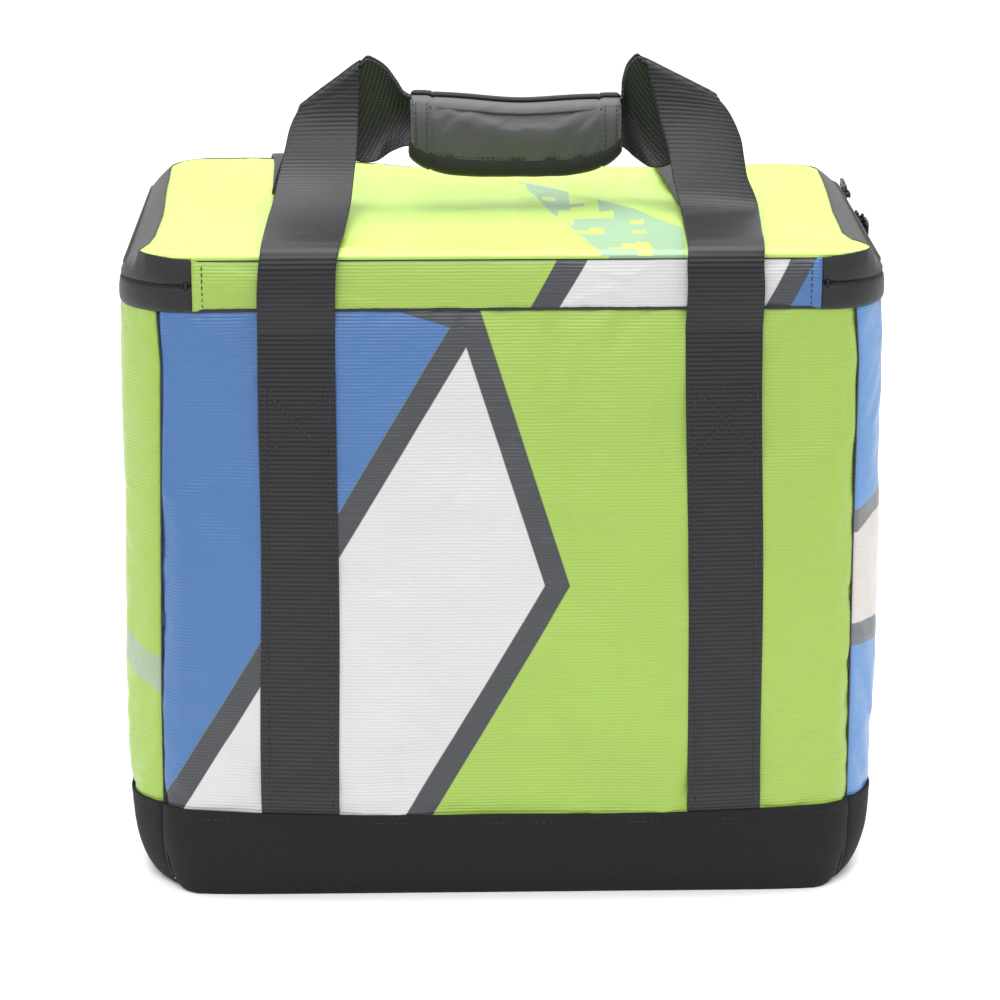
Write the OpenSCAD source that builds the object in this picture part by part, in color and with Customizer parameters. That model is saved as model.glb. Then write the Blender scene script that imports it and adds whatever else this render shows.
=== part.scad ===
/* [Bag body] */
// Width of the body across the front face
body_w = 370; // [300:1:460]
// Depth of the body from front to back
body_d = 230; // [180:1:290]
// Height of the seam where the lid's front edge meets the hinge strip
seam_h = 332; // [260:1:400]
// Radius of the vertical corners
corner_r = 28; // [18:1:40]
// Distance of each front seam from the body's side
seam_inset = 15; // [8:1:26]
// Thickness of the coated outer fabric
skin_t = 1.5; // [1:0.1:2.5]
// Thickness of the closed-cell foam in walls, floor and lid
foam_t = 8; // [4:0.5:14]
// Thickness of the welded liner
liner_t = 1; // [0.6:0.1:2]

/* [Boot] */
// Height of the black reinforced boot
boot_h = 47; // [30:1:70]
// How far the boot draws in at the floor
boot_inset = 15; // [6:1:22]
// Thickness of the stiffening board under the floor foam
board_t = 3; // [2:0.5:6]

/* [Zip and lid] */
// Height of the zip band from body seam to lid seam
band_h = 24; // [18:1:32]
// Distance from the hinge strip's end to the start of the corner
hinge_gap = 5; // [2:1:40]
// Thickness of the zip band binding
band_t = 1; // [0.8:0.1:1.5]
// Width of one row of the zip coil
coil_w = 1.7; // [1.2:0.1:2.5]
// Height of the lid above its front seam
lid_rise = 4; // [2:0.5:10]
// How far the lid's edge slopes in towards the top
lid_slope = 9; // [5:1:14]

/* [Webbing and grip] */
// Width of the carry webbing
strap_w = 38; // [25:1:50]
// Thickness of the carry webbing
strap_t = 2; // [1.4:0.1:2.6]
// Distance of each strap's centre line from the middle
strap_x = 106; // [90:1:120]
// Height of the top of the box-and-cross stitching
stitch_top = 271; // [200:1:300]
// Height of the box-and-cross stitching
stitch_h = 38; // [25:1:60]
// Height of the folded handle above the lid
handle_rise = 80; // [60:1:110]
// Length of the padded grip
grip_len = 107; // [80:1:130]
// Sideways offset of the grip from the middle
grip_x = 7; // [0:1:12]
// Half the thickness of the padded grip
grip_r = 11.5; // [9:0.5:15]

/* [Zip sliders] */
// Distance of the front slider behind the middle of the side
slider_front_y = 24; // [0:1:45]
// Length of a slider's body
slider_l = 13; // [9:0.5:16]
// Width of a slider's body
slider_w = 9; // [6:0.5:11]
// Length of a pull tab from its pivot
pull_l = 24; // [16:1:30]

/* [Hidden] */

gap = 0.3;                              // clearance between pieces that move
lift = 1;                               // how far the free webbing stands off what is under it
vinyl_lime = "yellowgreen";
webbing_black = [0.16, 0.16, 0.17];
boot_black = [0.2, 0.2, 0.21];
foam_white = "whitesmoke";
liner_grey = "silver";
metal = "dimgray";

front_y = -body_d / 2;                  // front face of the body
seam_x = body_w / 2 - seam_inset;       // seams of the front face, each side of the middle
hinge_x = body_w / 2 - corner_r - hinge_gap;
body_top = seam_h - band_h;             // seam between the body panels and the zip band
zip_z = seam_h - band_h / 2;            // parting line of the zip
lid_top = seam_h + lid_rise;
wall = skin_t + foam_t + liner_t;       // whole wall from outside to cavity
floor_z = skin_t + board_t + foam_t;    // top of the floor foam
foam_top = zip_z - 3.2;                 // top of the wall foam, under the rim binding
proud = band_t / 2;                     // how far the band stands out from the body
strap_y = front_y - strap_t;            // outer face of the sewn webbing
riser_y = front_y - lift;               // inner face of the free webbing
fold_z = stitch_top + 0.8;              // height at which the free webbing folds down
over_z = lid_top + lift;                // underside of the webbing that lies on the lid
over_mid = over_z + strap_t / 2;
peak_z = lid_top + handle_rise;
grip_top = peak_z - 21;
grip_h = strap_w + 4;
grip_bot = grip_top - grip_h;
grip_mid = grip_top - grip_h / 2;
web_gap = 0.3;                          // from the middle plane to each webbing in the grip
web_out = web_gap + strap_t;
web_left = grip_x - grip_len / 2;
web_right = grip_x + grip_len / 2;
lip_out = 7.6;                          // outer face of the pad's front lip
lip_top = grip_bot + 20;
flap_bot = grip_bot + 12;
strip_t = 1;                            // thickness of each hook or loop strip
coil_x = body_w / 2 + proud + 0.2;      // outer face of the coil on the right side
slider_x = coil_x + gap;                // inner face of a slider's plate
plate_t = 1.6;
crown_t = 3.4;
pivot_x = slider_x + plate_t + 1.5;     // axis of a pull tab
corner_x = body_w / 2 - corner_r;       // centre of the right rear corner
corner_y = body_d / 2 - corner_r;

// Rounded rectangle, drawn in by a distance from the body's outline
module outline(inset) {
    w = body_w - 2 * inset;
    d = body_d - 2 * inset;
    r = max(corner_r - inset, 2);
    square([w - 2 * r, d], center = true);
    square([w, d - 2 * r], center = true);
    for (sx = [-1, 1], sy = [-1, 1])
        translate([sx * (w / 2 - r), sy * (d / 2 - r)]) circle(r, $fn = 64);
}

// Upright plate or block of that outline
module slab(inset, z0, z1) {
    translate([0, 0, z0]) linear_extrude(z1 - z0) outline(inset);
}

// Upright ring between two insets
module ring(outer, inner, z0, z1) {
    translate([0, 0, z0]) linear_extrude(z1 - z0) difference() {
        outline(outer);
        outline(inner);
    }
}

// Flat slice used as a child of a hull
module slice(inset, z, h = 0.4) {
    translate([0, 0, z]) linear_extrude(h) {
        w = body_w - 2 * inset;
        d = body_d - 2 * inset;
        r = max(corner_r - inset, 4);
        for (sx = [-1, 1], sy = [-1, 1])
            translate([sx * (w / 2 - r), sy * (d / 2 - r)]) circle(r, $fn = 32);
    }
}

// Solid shape of the boot, drawn in by a distance, from its floor to its top edge
module boot_form(inset, z0) {
    hull() {
        slice(inset + boot_inset, z0);
        slice(inset + boot_inset * 0.42, z0 + boot_h * 0.14);
        slice(inset + boot_inset * 0.14, z0 + boot_h * 0.36);
        slice(inset, boot_h * 0.7, boot_h * 0.3);
    }
}

// Everything inside the skin
module core(inset) {
    boot_form(inset, skin_t);
    slab(inset, boot_h, seam_h);
}

// Box that keeps the front part of a ring: between the seams, on one side
module front_zone(half, z0, z1) {
    translate([-half, -body_d, z0]) cube([2 * half, body_d, z1 - z0]);
}

module side_zone(half, z0, z1) {
    translate([half, -body_d, z0]) cube([body_w, 2 * body_d, z1 - z0]);
}

module skin_ring(z0, z1) {
    ring(0, skin_t, z0, z1);
}

module front_skin() {
    intersection() {
        skin_ring(boot_h, body_top);
        front_zone(seam_x, boot_h, body_top);
    }
}

module side_skin() {
    intersection() {
        skin_ring(boot_h, body_top);
        side_zone(seam_x, boot_h, body_top);
    }
}

module front_panel() { color(vinyl_lime) front_skin(); }

module back_panel() { color(vinyl_lime) mirror([0, 1, 0]) front_skin(); }

module left_panel() { color("lightgreen") mirror([1, 0, 0]) side_skin(); }

module right_panel() { color("cornflowerblue") side_skin(); }

// Wall of the boot, open at the top and resting on the bottom piece
module boot_shell() {
    difference() {
        boot_form(0, 0);
        boot_form(skin_t, skin_t - 0.5);
        translate([0, 0, boot_h - 1]) linear_extrude(2) outline(skin_t);
        translate([-body_w, -body_d, -1]) cube([2 * body_w, 2 * body_d, 1 + skin_t]);
    }
}

module boot_front_form() {
    intersection() {
        boot_shell();
        front_zone(seam_x - 1, 0, boot_h);
    }
}

module boot_side_form() {
    intersection() {
        boot_shell();
        side_zone(seam_x - 1, 0, boot_h);
    }
}

module boot_front() { color(boot_black) boot_front_form(); }

module boot_back() { color(boot_black) mirror([0, 1, 0]) boot_front_form(); }

module boot_left() { color(boot_black) mirror([1, 0, 0]) boot_side_form(); }

module boot_right() { color(boot_black) boot_side_form(); }

module boot_bottom() {
    color(boot_black) slab(boot_inset, 0, skin_t);
}

module base_board() {
    color("black") slab(boot_inset + 2, skin_t, skin_t + board_t);
}

module foam_floor() {
    color(foam_white) slab(boot_inset, skin_t + board_t, floor_z);
}

// Foam between the outer fabric and the liner, all the way round
module foam_wall() {
    difference() {
        core(skin_t);
        slab(skin_t + foam_t, 0, seam_h + 1);
    }
}

// Foam sheet behind the front face, bent round both corners
module foam_front_form() {
    intersection() {
        foam_wall();
        translate([-body_w / 2, front_y, floor_z])
            cube([body_w, corner_r, foam_top - floor_z]);
    }
}

// Foam sheet behind the right side, between the front and back sheets
module foam_side_form() {
    intersection() {
        foam_wall();
        translate([0, -corner_y, floor_z])
            cube([body_w / 2, 2 * corner_y, foam_top - floor_z]);
    }
}

module foam_front() { color(foam_white) foam_front_form(); }

module foam_back() { color(foam_white) mirror([0, 1, 0]) foam_front_form(); }

module foam_left() { color(foam_white) mirror([1, 0, 0]) foam_side_form(); }

module foam_right() { color(foam_white) foam_side_form(); }

module liner_tub() {
    color(liner_grey) difference() {
        slab(skin_t + foam_t, floor_z, foam_top);
        slab(wall, floor_z + liner_t, foam_top + 1);
    }
}

module rim_binding() {
    color(webbing_black) ring(skin_t, wall, foam_top, zip_z - 1);
}

// Cuts the hinge strip's length out of a ring at the front
module around_hinge() {
    difference() {
        children();
        front_zone(hinge_x, 0, seam_h + 20);
    }
}

module zip_band_lower() {
    color(boot_black) around_hinge()
        ring(-proud, band_t - proud, body_top, zip_z - gap / 2 - coil_w);
}

module zip_tape_lower() {
    color("black") around_hinge()
        ring(band_t - proud, skin_t - 0.1, zip_z - 9, zip_z - gap / 2);
}

module coil_ring(z0) {
    around_hinge() ring(-proud - 0.2, band_t - proud, z0, z0 + coil_w);
}

module zip_coil_lower() { color("black") coil_ring(zip_z - gap / 2 - coil_w); }

// Two small stops at the ends of the zip beside the hinge strip
module zip_end_stops() {
    stop_l = 3;
    color(metal) for (sx = [-1, 1])
        translate([sx * (hinge_x + 3) - stop_l / 2, front_y - proud - 1.2, zip_z - gap / 2 - coil_w])
            cube([stop_l, 1, coil_w]);
}

module hinge_strip() {
    color(vinyl_lime) translate([-hinge_x, front_y, body_top])
        cube([2 * hinge_x, skin_t - 0.3, band_h]);
}

// Webbing sewn to the body, from the boot's top edge to the top of the cross stitching
module sewn_strap(side) {
    color(webbing_black) translate([side * strap_x - strap_w / 2, strap_y, boot_h])
        cube([strap_w, strap_t, stitch_top - boot_h]);
}

module front_strap_left() { sewn_strap(-1); }

module front_strap_right() { sewn_strap(1); }

module rear_strap_left() { mirror([0, 1, 0]) sewn_strap(-1); }

module rear_strap_right() { mirror([0, 1, 0]) sewn_strap(1); }

// Box with a cross through it, stitched in thread on one strap
module cross_stitch() {
    thread = 0.8;
    margin = 3;
    w = strap_w - 2 * margin;
    h = stitch_h - margin;
    diagonal = sqrt(w * w + h * h);
    tilt = atan2(h, w);
    for (s = [-1, 1]) {
        translate([s * w / 2, 0, 0]) cube([thread, thread, h], center = true);
        translate([0, 0, s * h / 2]) cube([w, thread, thread], center = true);
        rotate([0, s * tilt, 0]) cube([diagonal, thread, thread], center = true);
    }
}

module cross_stitching() {
    color("black") for (sx = [-1, 1], sy = [-1, 1])
        translate([sx * strap_x, sy * (body_d / 2 + strap_t + 0.4), stitch_top - stitch_h / 2])
            cross_stitch();
}

// Solid form of the lid above its seam, drawn in by a distance and lowered by as much
module lid_form(inset) {
    hull() {
        slice(inset, seam_h - inset);
        slice(inset + 2, seam_h + lid_rise * 0.6 - inset);
        slice(inset + lid_slope, lid_top - inset - 0.4);
    }
}

module lid_panel() {
    color(vinyl_lime) difference() {
        lid_form(0);
        lid_form(skin_t);
    }
}

module lid_foam() {
    color(foam_white) {
        lid_form(skin_t);
        slab(skin_t, zip_z + 3, seam_h - skin_t);
    }
}

module lid_liner() { color(liner_grey) slab(skin_t, zip_z + 2, zip_z + 3); }

module lid_binding() { color(webbing_black) ring(skin_t, skin_t + 6, zip_z + 1, zip_z + 2); }

module zip_band_upper() {
    color(boot_black) around_hinge()
        ring(-proud, band_t - proud, zip_z + gap / 2 + coil_w, seam_h);
}

module zip_tape_upper() {
    color("black") around_hinge()
        ring(band_t - proud, skin_t - 0.1, zip_z + gap / 2, zip_z + 9);
}

module zip_coil_upper() { color("black") coil_ring(zip_z + gap / 2); }

// Free webbing between the cross stitching and the lid's edge
module riser(side) {
    color(webbing_black) translate([side * strap_x - strap_w / 2, riser_y - strap_t, fold_z + 0.4])
        cube([strap_w, strap_t, seam_h + 1.5 - fold_z - 0.4]);
}

module front_riser_left() { riser(-1); }

module front_riser_right() { riser(1); }

module rear_riser_left() { mirror([0, 1, 0]) riser(-1); }

module rear_riser_right() { mirror([0, 1, 0]) riser(1); }

// Ribbon through rows of [one edge, other edge, normal]
module ribbon(rows) {
    n = len(rows);
    h = strap_t / 2;
    function unit(v) = v / norm(v);
    points = [for (r = rows) let (u = unit(r[2]) * h) each [r[0] - u, r[1] - u, r[1] + u, r[0] + u]];
    sides = [for (i = [0:n - 2], k = [0:3]) let (a = 4 * i + k, b = 4 * i + (k + 1) % 4)
        each [[a, a + 4, b], [b, a + 4, b + 4]]];
    e = 4 * (n - 1);
    polyhedron(points, concat(sides, [[0, 1, 2], [0, 2, 3], [e, e + 2, e + 1], [e, e + 3, e + 2]]));
}

// Free webbing over one half of the lid and up to the grip, on the left at the front
module loop_side(grip_end) {
    half = strap_w / 2;
    xo = -strap_x - half;               // outer edge at the lid's front
    xi = -strap_x + half;               // inner edge
    y0 = riser_y - strap_t / 2;
    yw = -web_gap - strap_t / 2;
    web_lo = grip_mid - half;
    web_hi = grip_mid + half;
    step = handle_rise / 8;
    color(webbing_black) ribbon([
        [[xo, y0, seam_h + 1.7], [xi, y0, seam_h + 1.7], [0, -1, 0]],
        [[xo, y0 + 1.6, over_mid - 1.6], [xi, y0 + 1.6, over_mid - 1.6], [0, -1, 1]],
        [[xo + 0.5, y0 + 6, over_mid], [xi + 0.5, y0 + 6, over_mid], [0, 0, 1]],
        [[xo + 5.5, -20, over_mid], [xi + 5.5, -20, over_mid], [0, 0, 1]],
        [[xo + 6, -12, over_mid + 3], [xi + 6, -12, over_mid + 3], [0, -1, 1]],
        [[xo + 6.5, -9, over_mid + step], [xi + 6.5, -9, over_mid + step], [0, -1, 0]],
        [[xo + 14, -8, over_mid + 4 * step], [xi + 12, -8, over_mid + 4 * step], [0, -1, 0]],
        [[xo + 22, -6, over_mid + 5 * step], [xi + 15, -6, peak_z - 4], [0, -1, 1]],
        [[xo + 27, -4, over_mid + 5 * step], [xi + 16, -4, peak_z - 1.1], [0, 0, 1]],
        [[xo + 36, yw, over_mid + 4 * step], [xi + 20, yw, peak_z - 6], [0, 1, 0]],
        [[grip_end - 16, yw, web_lo + 4], [grip_end - 12, yw, web_hi + 4], [0, 1, 0]],
        [[grip_end, yw, web_lo], [grip_end, yw, web_hi], [0, 1, 0]]]);
}

module front_loop_left() { loop_side(web_left); }

module front_loop_right() { mirror([1, 0, 0]) loop_side(-web_right); }

module front_loop_grip_run() {
    color(webbing_black) translate([web_left, -web_out, grip_mid - strap_w / 2])
        cube([grip_len, strap_t, strap_w]);
}

module rear_loop_left() { mirror([0, 1, 0]) front_loop_left(); }

module rear_loop_right() { mirror([0, 1, 0]) front_loop_right(); }

module rear_loop_grip_run() { mirror([0, 1, 0]) front_loop_grip_run(); }

// Outline of the grip across its length, with y to the right and z up
module grip_section() {
    r = grip_r;
    for (z = [grip_bot + r, grip_top - r]) translate([0, z]) circle(r, $fn = 48);
    translate([-r, grip_bot + r]) square([2 * r, grip_h - 2 * r]);
}

module along_grip() {
    translate([web_left, 0, 0]) rotate([90, 0, 90]) linear_extrude(grip_len) children();
}

// Rear half of the padded wrap with the inner lip that comes round the bottom
module grip_pad() {
    color(boot_black) along_grip() difference() {
        intersection() {
            grip_section();
            union() {
                translate([gap / 2, 0]) square([grip_r, peak_z]);
                translate([-lip_out, 0]) square([lip_out + 1, lip_top]);
            }
        }
        translate([-web_out - gap, grip_mid - strap_w / 2]) square([2 * web_out + gap, strap_w]);
    }
}

// Outer flap that closes over the front of the grip
module grip_flap() {
    hook_in = lip_out + 2 * strip_t + gap;
    color(boot_black) along_grip() difference() {
        intersection() {
            grip_section();
            translate([-grip_r, flap_bot]) square([grip_r - gap / 2, grip_h]);
        }
        translate([-web_out - gap, 0]) square([web_out + gap, grip_mid + strap_w / 2 + 0.2]);
        translate([-hook_in, 0]) square([hook_in, lip_top + gap]);
    }
}

module grip_loop_strip() {
    color("black") translate([web_left + 6, -lip_out - strip_t, lip_top - 13])
        cube([grip_len - 12, strip_t, 12]);
}

module grip_hook_strip() {
    color("black") translate([web_left + 6, -lip_out - 2 * strip_t - gap, flap_bot + 0.5])
        cube([grip_len - 12, strip_t, lip_top - flap_bot - 1]);
}

// Slider at the middle of the right side, its plate along y
module slider_form() {
    color(metal) {
        translate([slider_x, -slider_l / 2, zip_z - slider_w / 2]) cube([plate_t, slider_l, slider_w]);
        for (s = [-1, 1])
            translate([slider_x + plate_t, s * (slider_l / 2 - 3.5) - 1.25, zip_z - 1.5])
                cube([crown_t - 1, 2.5, 3]);
        translate([slider_x + plate_t + crown_t - 1, -slider_l / 2 + 2.25, zip_z - 1.5])
            cube([1, slider_l - 4.5, 3]);
    }
}

// Pull tab that lies towards the front from the slider's crown
module pull_form() {
    pin_r = 0.6;
    ear_t = 1.4;
    ear = slider_w / 2;
    color(metal) {
        translate([pivot_x - slider_x - plate_t, 0, 0]) {
            translate([slider_x + plate_t, 0, zip_z - ear])
                cylinder(r = pin_r, h = 2 * ear, $fn = 24);
            for (s = [-1, 1])
                translate([slider_x + plate_t - pin_r, -pull_l + 8, zip_z + s * (ear - ear_t / 2) - ear_t / 2])
                    cube([2 * pin_r, pull_l - 8, ear_t]);
            translate([slider_x + plate_t - 0.9, -pull_l, zip_z - ear]) cube([1.8, 10, 2 * ear]);
        }
    }
}

module slider_front() { translate([0, slider_front_y, 0]) slider_form(); }

module slider_rear() { translate([0, corner_y, 0]) slider_form(); }

module pull_front() { translate([0, slider_front_y, 0]) pull_form(); }

module pull_rear() { translate([0, corner_y, 0]) mirror([0, 1, 0]) pull_form(); }

front_panel();
back_panel();
left_panel();
right_panel();
boot_front();
boot_back();
boot_left();
boot_right();
boot_bottom();
base_board();
foam_front();
foam_back();
foam_left();
foam_right();
foam_floor();
liner_tub();
rim_binding();
zip_band_lower();
zip_tape_lower();
zip_coil_lower();
zip_end_stops();
hinge_strip();
front_strap_left();
front_strap_right();
rear_strap_left();
rear_strap_right();
cross_stitching();
lid_panel();
lid_foam();
lid_liner();
lid_binding();
zip_band_upper();
zip_tape_upper();
zip_coil_upper();
front_riser_left();
front_riser_right();
rear_riser_left();
rear_riser_right();
front_loop_left();
front_loop_right();
front_loop_grip_run();
rear_loop_left();
rear_loop_right();
rear_loop_grip_run();
grip_pad();
grip_loop_strip();
grip_flap();
grip_hook_strip();
slider_front();
slider_rear();
pull_front();
pull_rear();
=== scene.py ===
import math
from functools import reduce

import bmesh
import bpy
import numpy as np
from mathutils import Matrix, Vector


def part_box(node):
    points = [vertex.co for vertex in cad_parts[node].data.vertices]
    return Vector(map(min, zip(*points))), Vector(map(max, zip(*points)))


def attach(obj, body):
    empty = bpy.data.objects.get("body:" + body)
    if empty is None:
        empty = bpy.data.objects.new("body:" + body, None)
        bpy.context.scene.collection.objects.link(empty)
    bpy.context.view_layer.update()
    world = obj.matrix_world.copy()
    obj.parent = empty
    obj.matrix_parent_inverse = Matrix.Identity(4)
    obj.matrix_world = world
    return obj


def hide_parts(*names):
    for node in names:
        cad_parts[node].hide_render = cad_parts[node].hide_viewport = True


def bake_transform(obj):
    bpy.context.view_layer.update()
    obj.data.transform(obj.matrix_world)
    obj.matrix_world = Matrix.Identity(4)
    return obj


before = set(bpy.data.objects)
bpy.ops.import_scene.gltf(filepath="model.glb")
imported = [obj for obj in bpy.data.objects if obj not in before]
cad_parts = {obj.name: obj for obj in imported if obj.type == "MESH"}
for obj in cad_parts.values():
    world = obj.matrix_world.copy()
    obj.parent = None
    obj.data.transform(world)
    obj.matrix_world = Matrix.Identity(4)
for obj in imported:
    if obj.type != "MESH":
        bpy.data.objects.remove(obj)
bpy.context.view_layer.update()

# ---------------------------------------------------------------- sizes, in millimetres
MM = 0.001
low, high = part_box("left_panel")
body_top = high.z / MM                      # seam between the panels and the zip band
boot_h = low.z / MM
half_w = -low.x / MM
half_d = high.y / MM
seam_x = -high.x / MM                       # front and back seams, each side of the middle
corner_r = 28
low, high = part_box("hinge_strip")
hinge_x = high.x / MM
seam_h = high.z / MM
zip_z = (body_top + seam_h) / 2
low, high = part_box("lid_panel")
lid_top = high.z / MM
low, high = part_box("liner_tub")
liner_inset = half_w - high.x / MM
floor_z = low.z / MM
foam_top = high.z / MM
low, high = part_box("front_strap_left")
strap_w = (high.x - low.x) / MM
strap_t = (high.y - low.y) / MM
stitch_top = high.z / MM
low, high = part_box("front_loop_grip_run")
grip_left = low.x / MM
grip_right = high.x / MM
low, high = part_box("grip_pad")
grip_low = low.z / MM
grip_high = high.z / MM
grip_r = high.y / MM
boot_inset = half_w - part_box("boot_bottom")[1].x / MM

straight_x = half_w - corner_r              # half lengths of the outline's straight runs
straight_y = half_d - corner_r
arc_l = corner_r * math.pi / 2
right_s = straight_x + arc_l                # start of the right side along the outline
back_s = right_s + 2 * straight_y + arc_l   # start of the back face
left_s = back_s + 2 * straight_x + arc_l
outline_l = 4 * (straight_x + straight_y + arc_l)
seam_s = straight_x + corner_r * math.asin((seam_x - straight_x) / corner_r)
tip_s = straight_x + arc_l / 2              # middle of the right front corner
seam_back_s = outline_l / 2 - seam_s
tip_back_s = outline_l / 2 - tip_s


def smooth(a, b, x):
    """0 before a, 1 after b and a smooth step between them."""
    t = np.clip((np.asarray(x, float) - a) / (b - a), 0, 1)
    return t * t * (3 - 2 * t)


def ripple(u, v, length, seed, angle=None, spread=3.2):
    """Smooth irregular waves of about that length, from -1 to 1."""
    draw = np.random.default_rng(seed)
    total = np.zeros(np.broadcast(u, v).shape)
    for _ in range(7):
        turn = draw.uniform(0, math.pi) if angle is None else math.radians(angle) + draw.normal(0, spread / 10)
        k = 2 * math.pi / (length * draw.uniform(0.7, 1.6))
        total += np.sin(k * (u * math.cos(turn) + v * math.sin(turn)) + draw.uniform(0, 6.28))
    return total / 4.2


def outline(s):
    """Points and outward normals of the body's rounded outline at distances s from the front's middle."""
    s = np.mod(np.asarray(s, float), outline_l)
    x, y, nx, ny = (np.zeros(s.shape) for _ in range(4))
    runs = [(0, straight_x, 0, -half_d, 0), (right_s, 2 * straight_y, half_w, -straight_y, 90),
            (back_s, 2 * straight_x, straight_x, half_d, 180), (left_s, 2 * straight_y, -half_w, straight_y, 270),
            (outline_l - straight_x, straight_x, -straight_x, -half_d, 360)]
    for start, length, x0, y0, heading in runs:
        turn = math.radians(heading)
        on = (s >= start - 1e-9) & (s <= start + length + 1e-9)
        along = s[on] - start
        x[on] = x0 + along * math.cos(turn)
        y[on] = y0 + along * math.sin(turn)
        nx[on] = math.sin(turn)
        ny[on] = -math.cos(turn)
    corners = [(straight_x, 1, -1, 0), (back_s - arc_l, 1, 1, 90),
               (left_s - arc_l, -1, 1, 180), (outline_l - straight_x - arc_l, -1, -1, 270)]
    for start, sx, sy, heading in corners:
        on = (s > start) & (s < start + arc_l)
        turn = math.radians(heading) + (s[on] - start) / corner_r
        nx[on] = np.sin(turn)
        ny[on] = -np.cos(turn)
        x[on] = sx * straight_x + corner_r * nx[on]
        y[on] = sy * straight_y + corner_r * ny[on]
    return x, y, nx, ny


def side_share(s):
    """1 along the right side, 0 at its seams and beyond."""
    return smooth(seam_s, right_s + 4, s) * (1 - smooth(seam_back_s - 27, seam_back_s, s))


def boot_draw(z):
    """How far the boot draws in towards the floor."""
    t = np.clip(1 - np.asarray(z, float) / (0.72 * boot_h), 0, 1)
    return boot_inset * (1 - np.sqrt(np.clip(1 - t ** 2.3, 0, 1)))


def bulge(s, z):
    """How far the soft body stands out from the plain outline: it widens towards the boot."""
    s = np.mod(np.asarray(s, float), outline_l)
    z = np.asarray(z, float)
    heights = [0, 30, 50, 74, 120, 173, 231, 300, 312, 340]
    left = np.interp(z, heights, [5, 5.5, 7, 8.4, 7.6, 6.3, 5.3, 4.2, 3.6, 3.2])
    right = np.interp(z, heights, [0.6, 1.5, 2.8, 3.4, 3.7, 3.2, 1.9, 0.5, 0, 0])
    x, y, _, _ = outline(s)
    face = 1 - np.clip(np.abs(x) / seam_x, 0, 1) ** (3.2 + 10 * (1 - smooth(0, 50, z)))
    swell = np.interp(z, [0, 10, 30, 56, 90, 140, 200, 260, 300, 309],
                      [5.5, 7, 11, 13.5, 12.5, 9.5, 6.5, 3.2, 0.6, 0])
    pillow = face * swell * np.where(y < 0, 1.0, 0.5)
    return right * side_share(s) + left * side_share(outline_l - s) + pillow


def seam_shift(s, z):
    """How far the front corner seams wander along the outline."""
    heights = [0, 50, 100, 200, 280, 306]
    near = np.mod(s + outline_l / 2, outline_l) - outline_l / 2
    left = np.interp(z, heights, [-6, -6, -5, -1.5, 1.5, 0]) * np.exp(-((near + seam_s) / 25) ** 2)
    right = np.interp(z, heights, [5, 5, 4.5, 3, 2.7, 0]) * np.exp(-((near - seam_s) / 25) ** 2)
    return left + right


def on_body(s, z, out=0.0):
    """Points on the body's surface, out millimetres outside it."""
    x, y, nx, ny = outline(s + seam_shift(s, z))
    d, draw = bulge(s, z) + out, boot_draw(z)
    return np.stack([x + nx * (d - draw), y + ny * (d - 0.3 * draw), np.broadcast_to(z, x.shape) + 0.0 * x], -1)


# ---------------------------------------------------------------- meshes
def add_object(name, data):
    made = bpy.data.objects.new(name, data)
    bpy.context.scene.collection.objects.link(made)
    return made


def smooth_object(name, mesh, look):
    """A smooth-shaded mesh object with one material."""
    made = add_object(name, mesh)
    if look is not None:
        mesh.materials.append(look)
    mesh.polygons.foreach_set("use_smooth", [True] * len(mesh.polygons))
    return made


def piece(name, points, faces, look, weave=None):
    """A mesh object from points in millimetres. weave holds each point's place on the cloth."""
    points = np.asarray(points, float).reshape(-1, 3)
    mesh = bpy.data.meshes.new(name)
    mesh.from_pydata((points * MM).tolist(), [], [list(map(int, f)) for f in faces])
    made = smooth_object(name, mesh, look)
    if weave is None:
        weave = np.stack([points[:, 0] + points[:, 1], points[:, 2], 0 * points[:, 0]], -1)
    else:
        weave = np.asarray(weave, float).reshape(-1, 2)
        weave = np.concatenate([weave, np.zeros((len(weave), 1))], 1)
    cloth = mesh.attributes.new("weave", "FLOAT_VECTOR", "POINT")
    cloth.data.foreach_set("vector", weave.astype(np.float32).ravel())
    mark_rest(made)
    mesh.update()
    return made


def points_of(made):
    flat = np.zeros(len(made.data.vertices) * 3)
    made.data.vertices.foreach_get("co", flat)
    return flat.reshape(-1, 3) / MM


def mark_rest(made):
    """Stores each point's place at rest, so that prints stay put when the piece bends."""
    rest = made.data.attributes.get("rest") or made.data.attributes.new("rest", "FLOAT_VECTOR", "POINT")
    rest.data.foreach_set("vector", points_of(made).astype(np.float32).ravel())


def grid_faces(rows, cols, first=0, flip=False, wrap=False):
    r, c = np.meshgrid(np.arange(rows - 1), np.arange(cols if wrap else cols - 1), indexing="ij")
    r, c = r.ravel(), c.ravel()
    d = (c + 1) % cols
    quads = np.stack([r * cols + c, r * cols + d, (r + 1) * cols + d, (r + 1) * cols + c], -1) + first
    return (quads[:, ::-1] if flip else quads).tolist()


def shell(name, outer, inner, look, weave=None, wrap=False):
    """A closed sheet between two grids of points, rows by columns."""
    rows, cols = outer.shape[:2]
    n = rows * cols
    faces = grid_faces(rows, cols, 0, False, wrap) + grid_faces(rows, cols, n, True, wrap)
    rim = [(0, c) for c in range(cols)]
    if not wrap:
        rim += [(r, cols - 1) for r in range(1, rows)] + [(rows - 1, c) for c in range(cols - 2, -1, -1)]
        rim += [(r, 0) for r in range(rows - 2, 0, -1)]
    loops = [rim] if not wrap else [rim, [(rows - 1, c) for c in range(cols - 1, -1, -1)]]
    for loop in loops:
        ids = [r * cols + c for r, c in loop]
        for a, b in zip(ids, ids[1:] + ids[:1]):
            faces.append([b, a, a + n, b + n])
    if weave is not None:
        weave = np.concatenate([weave.reshape(-1, 2)] * 2)
    return piece(name, np.concatenate([outer.reshape(-1, 3), inner.reshape(-1, 3)]), faces, look, weave)


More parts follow.
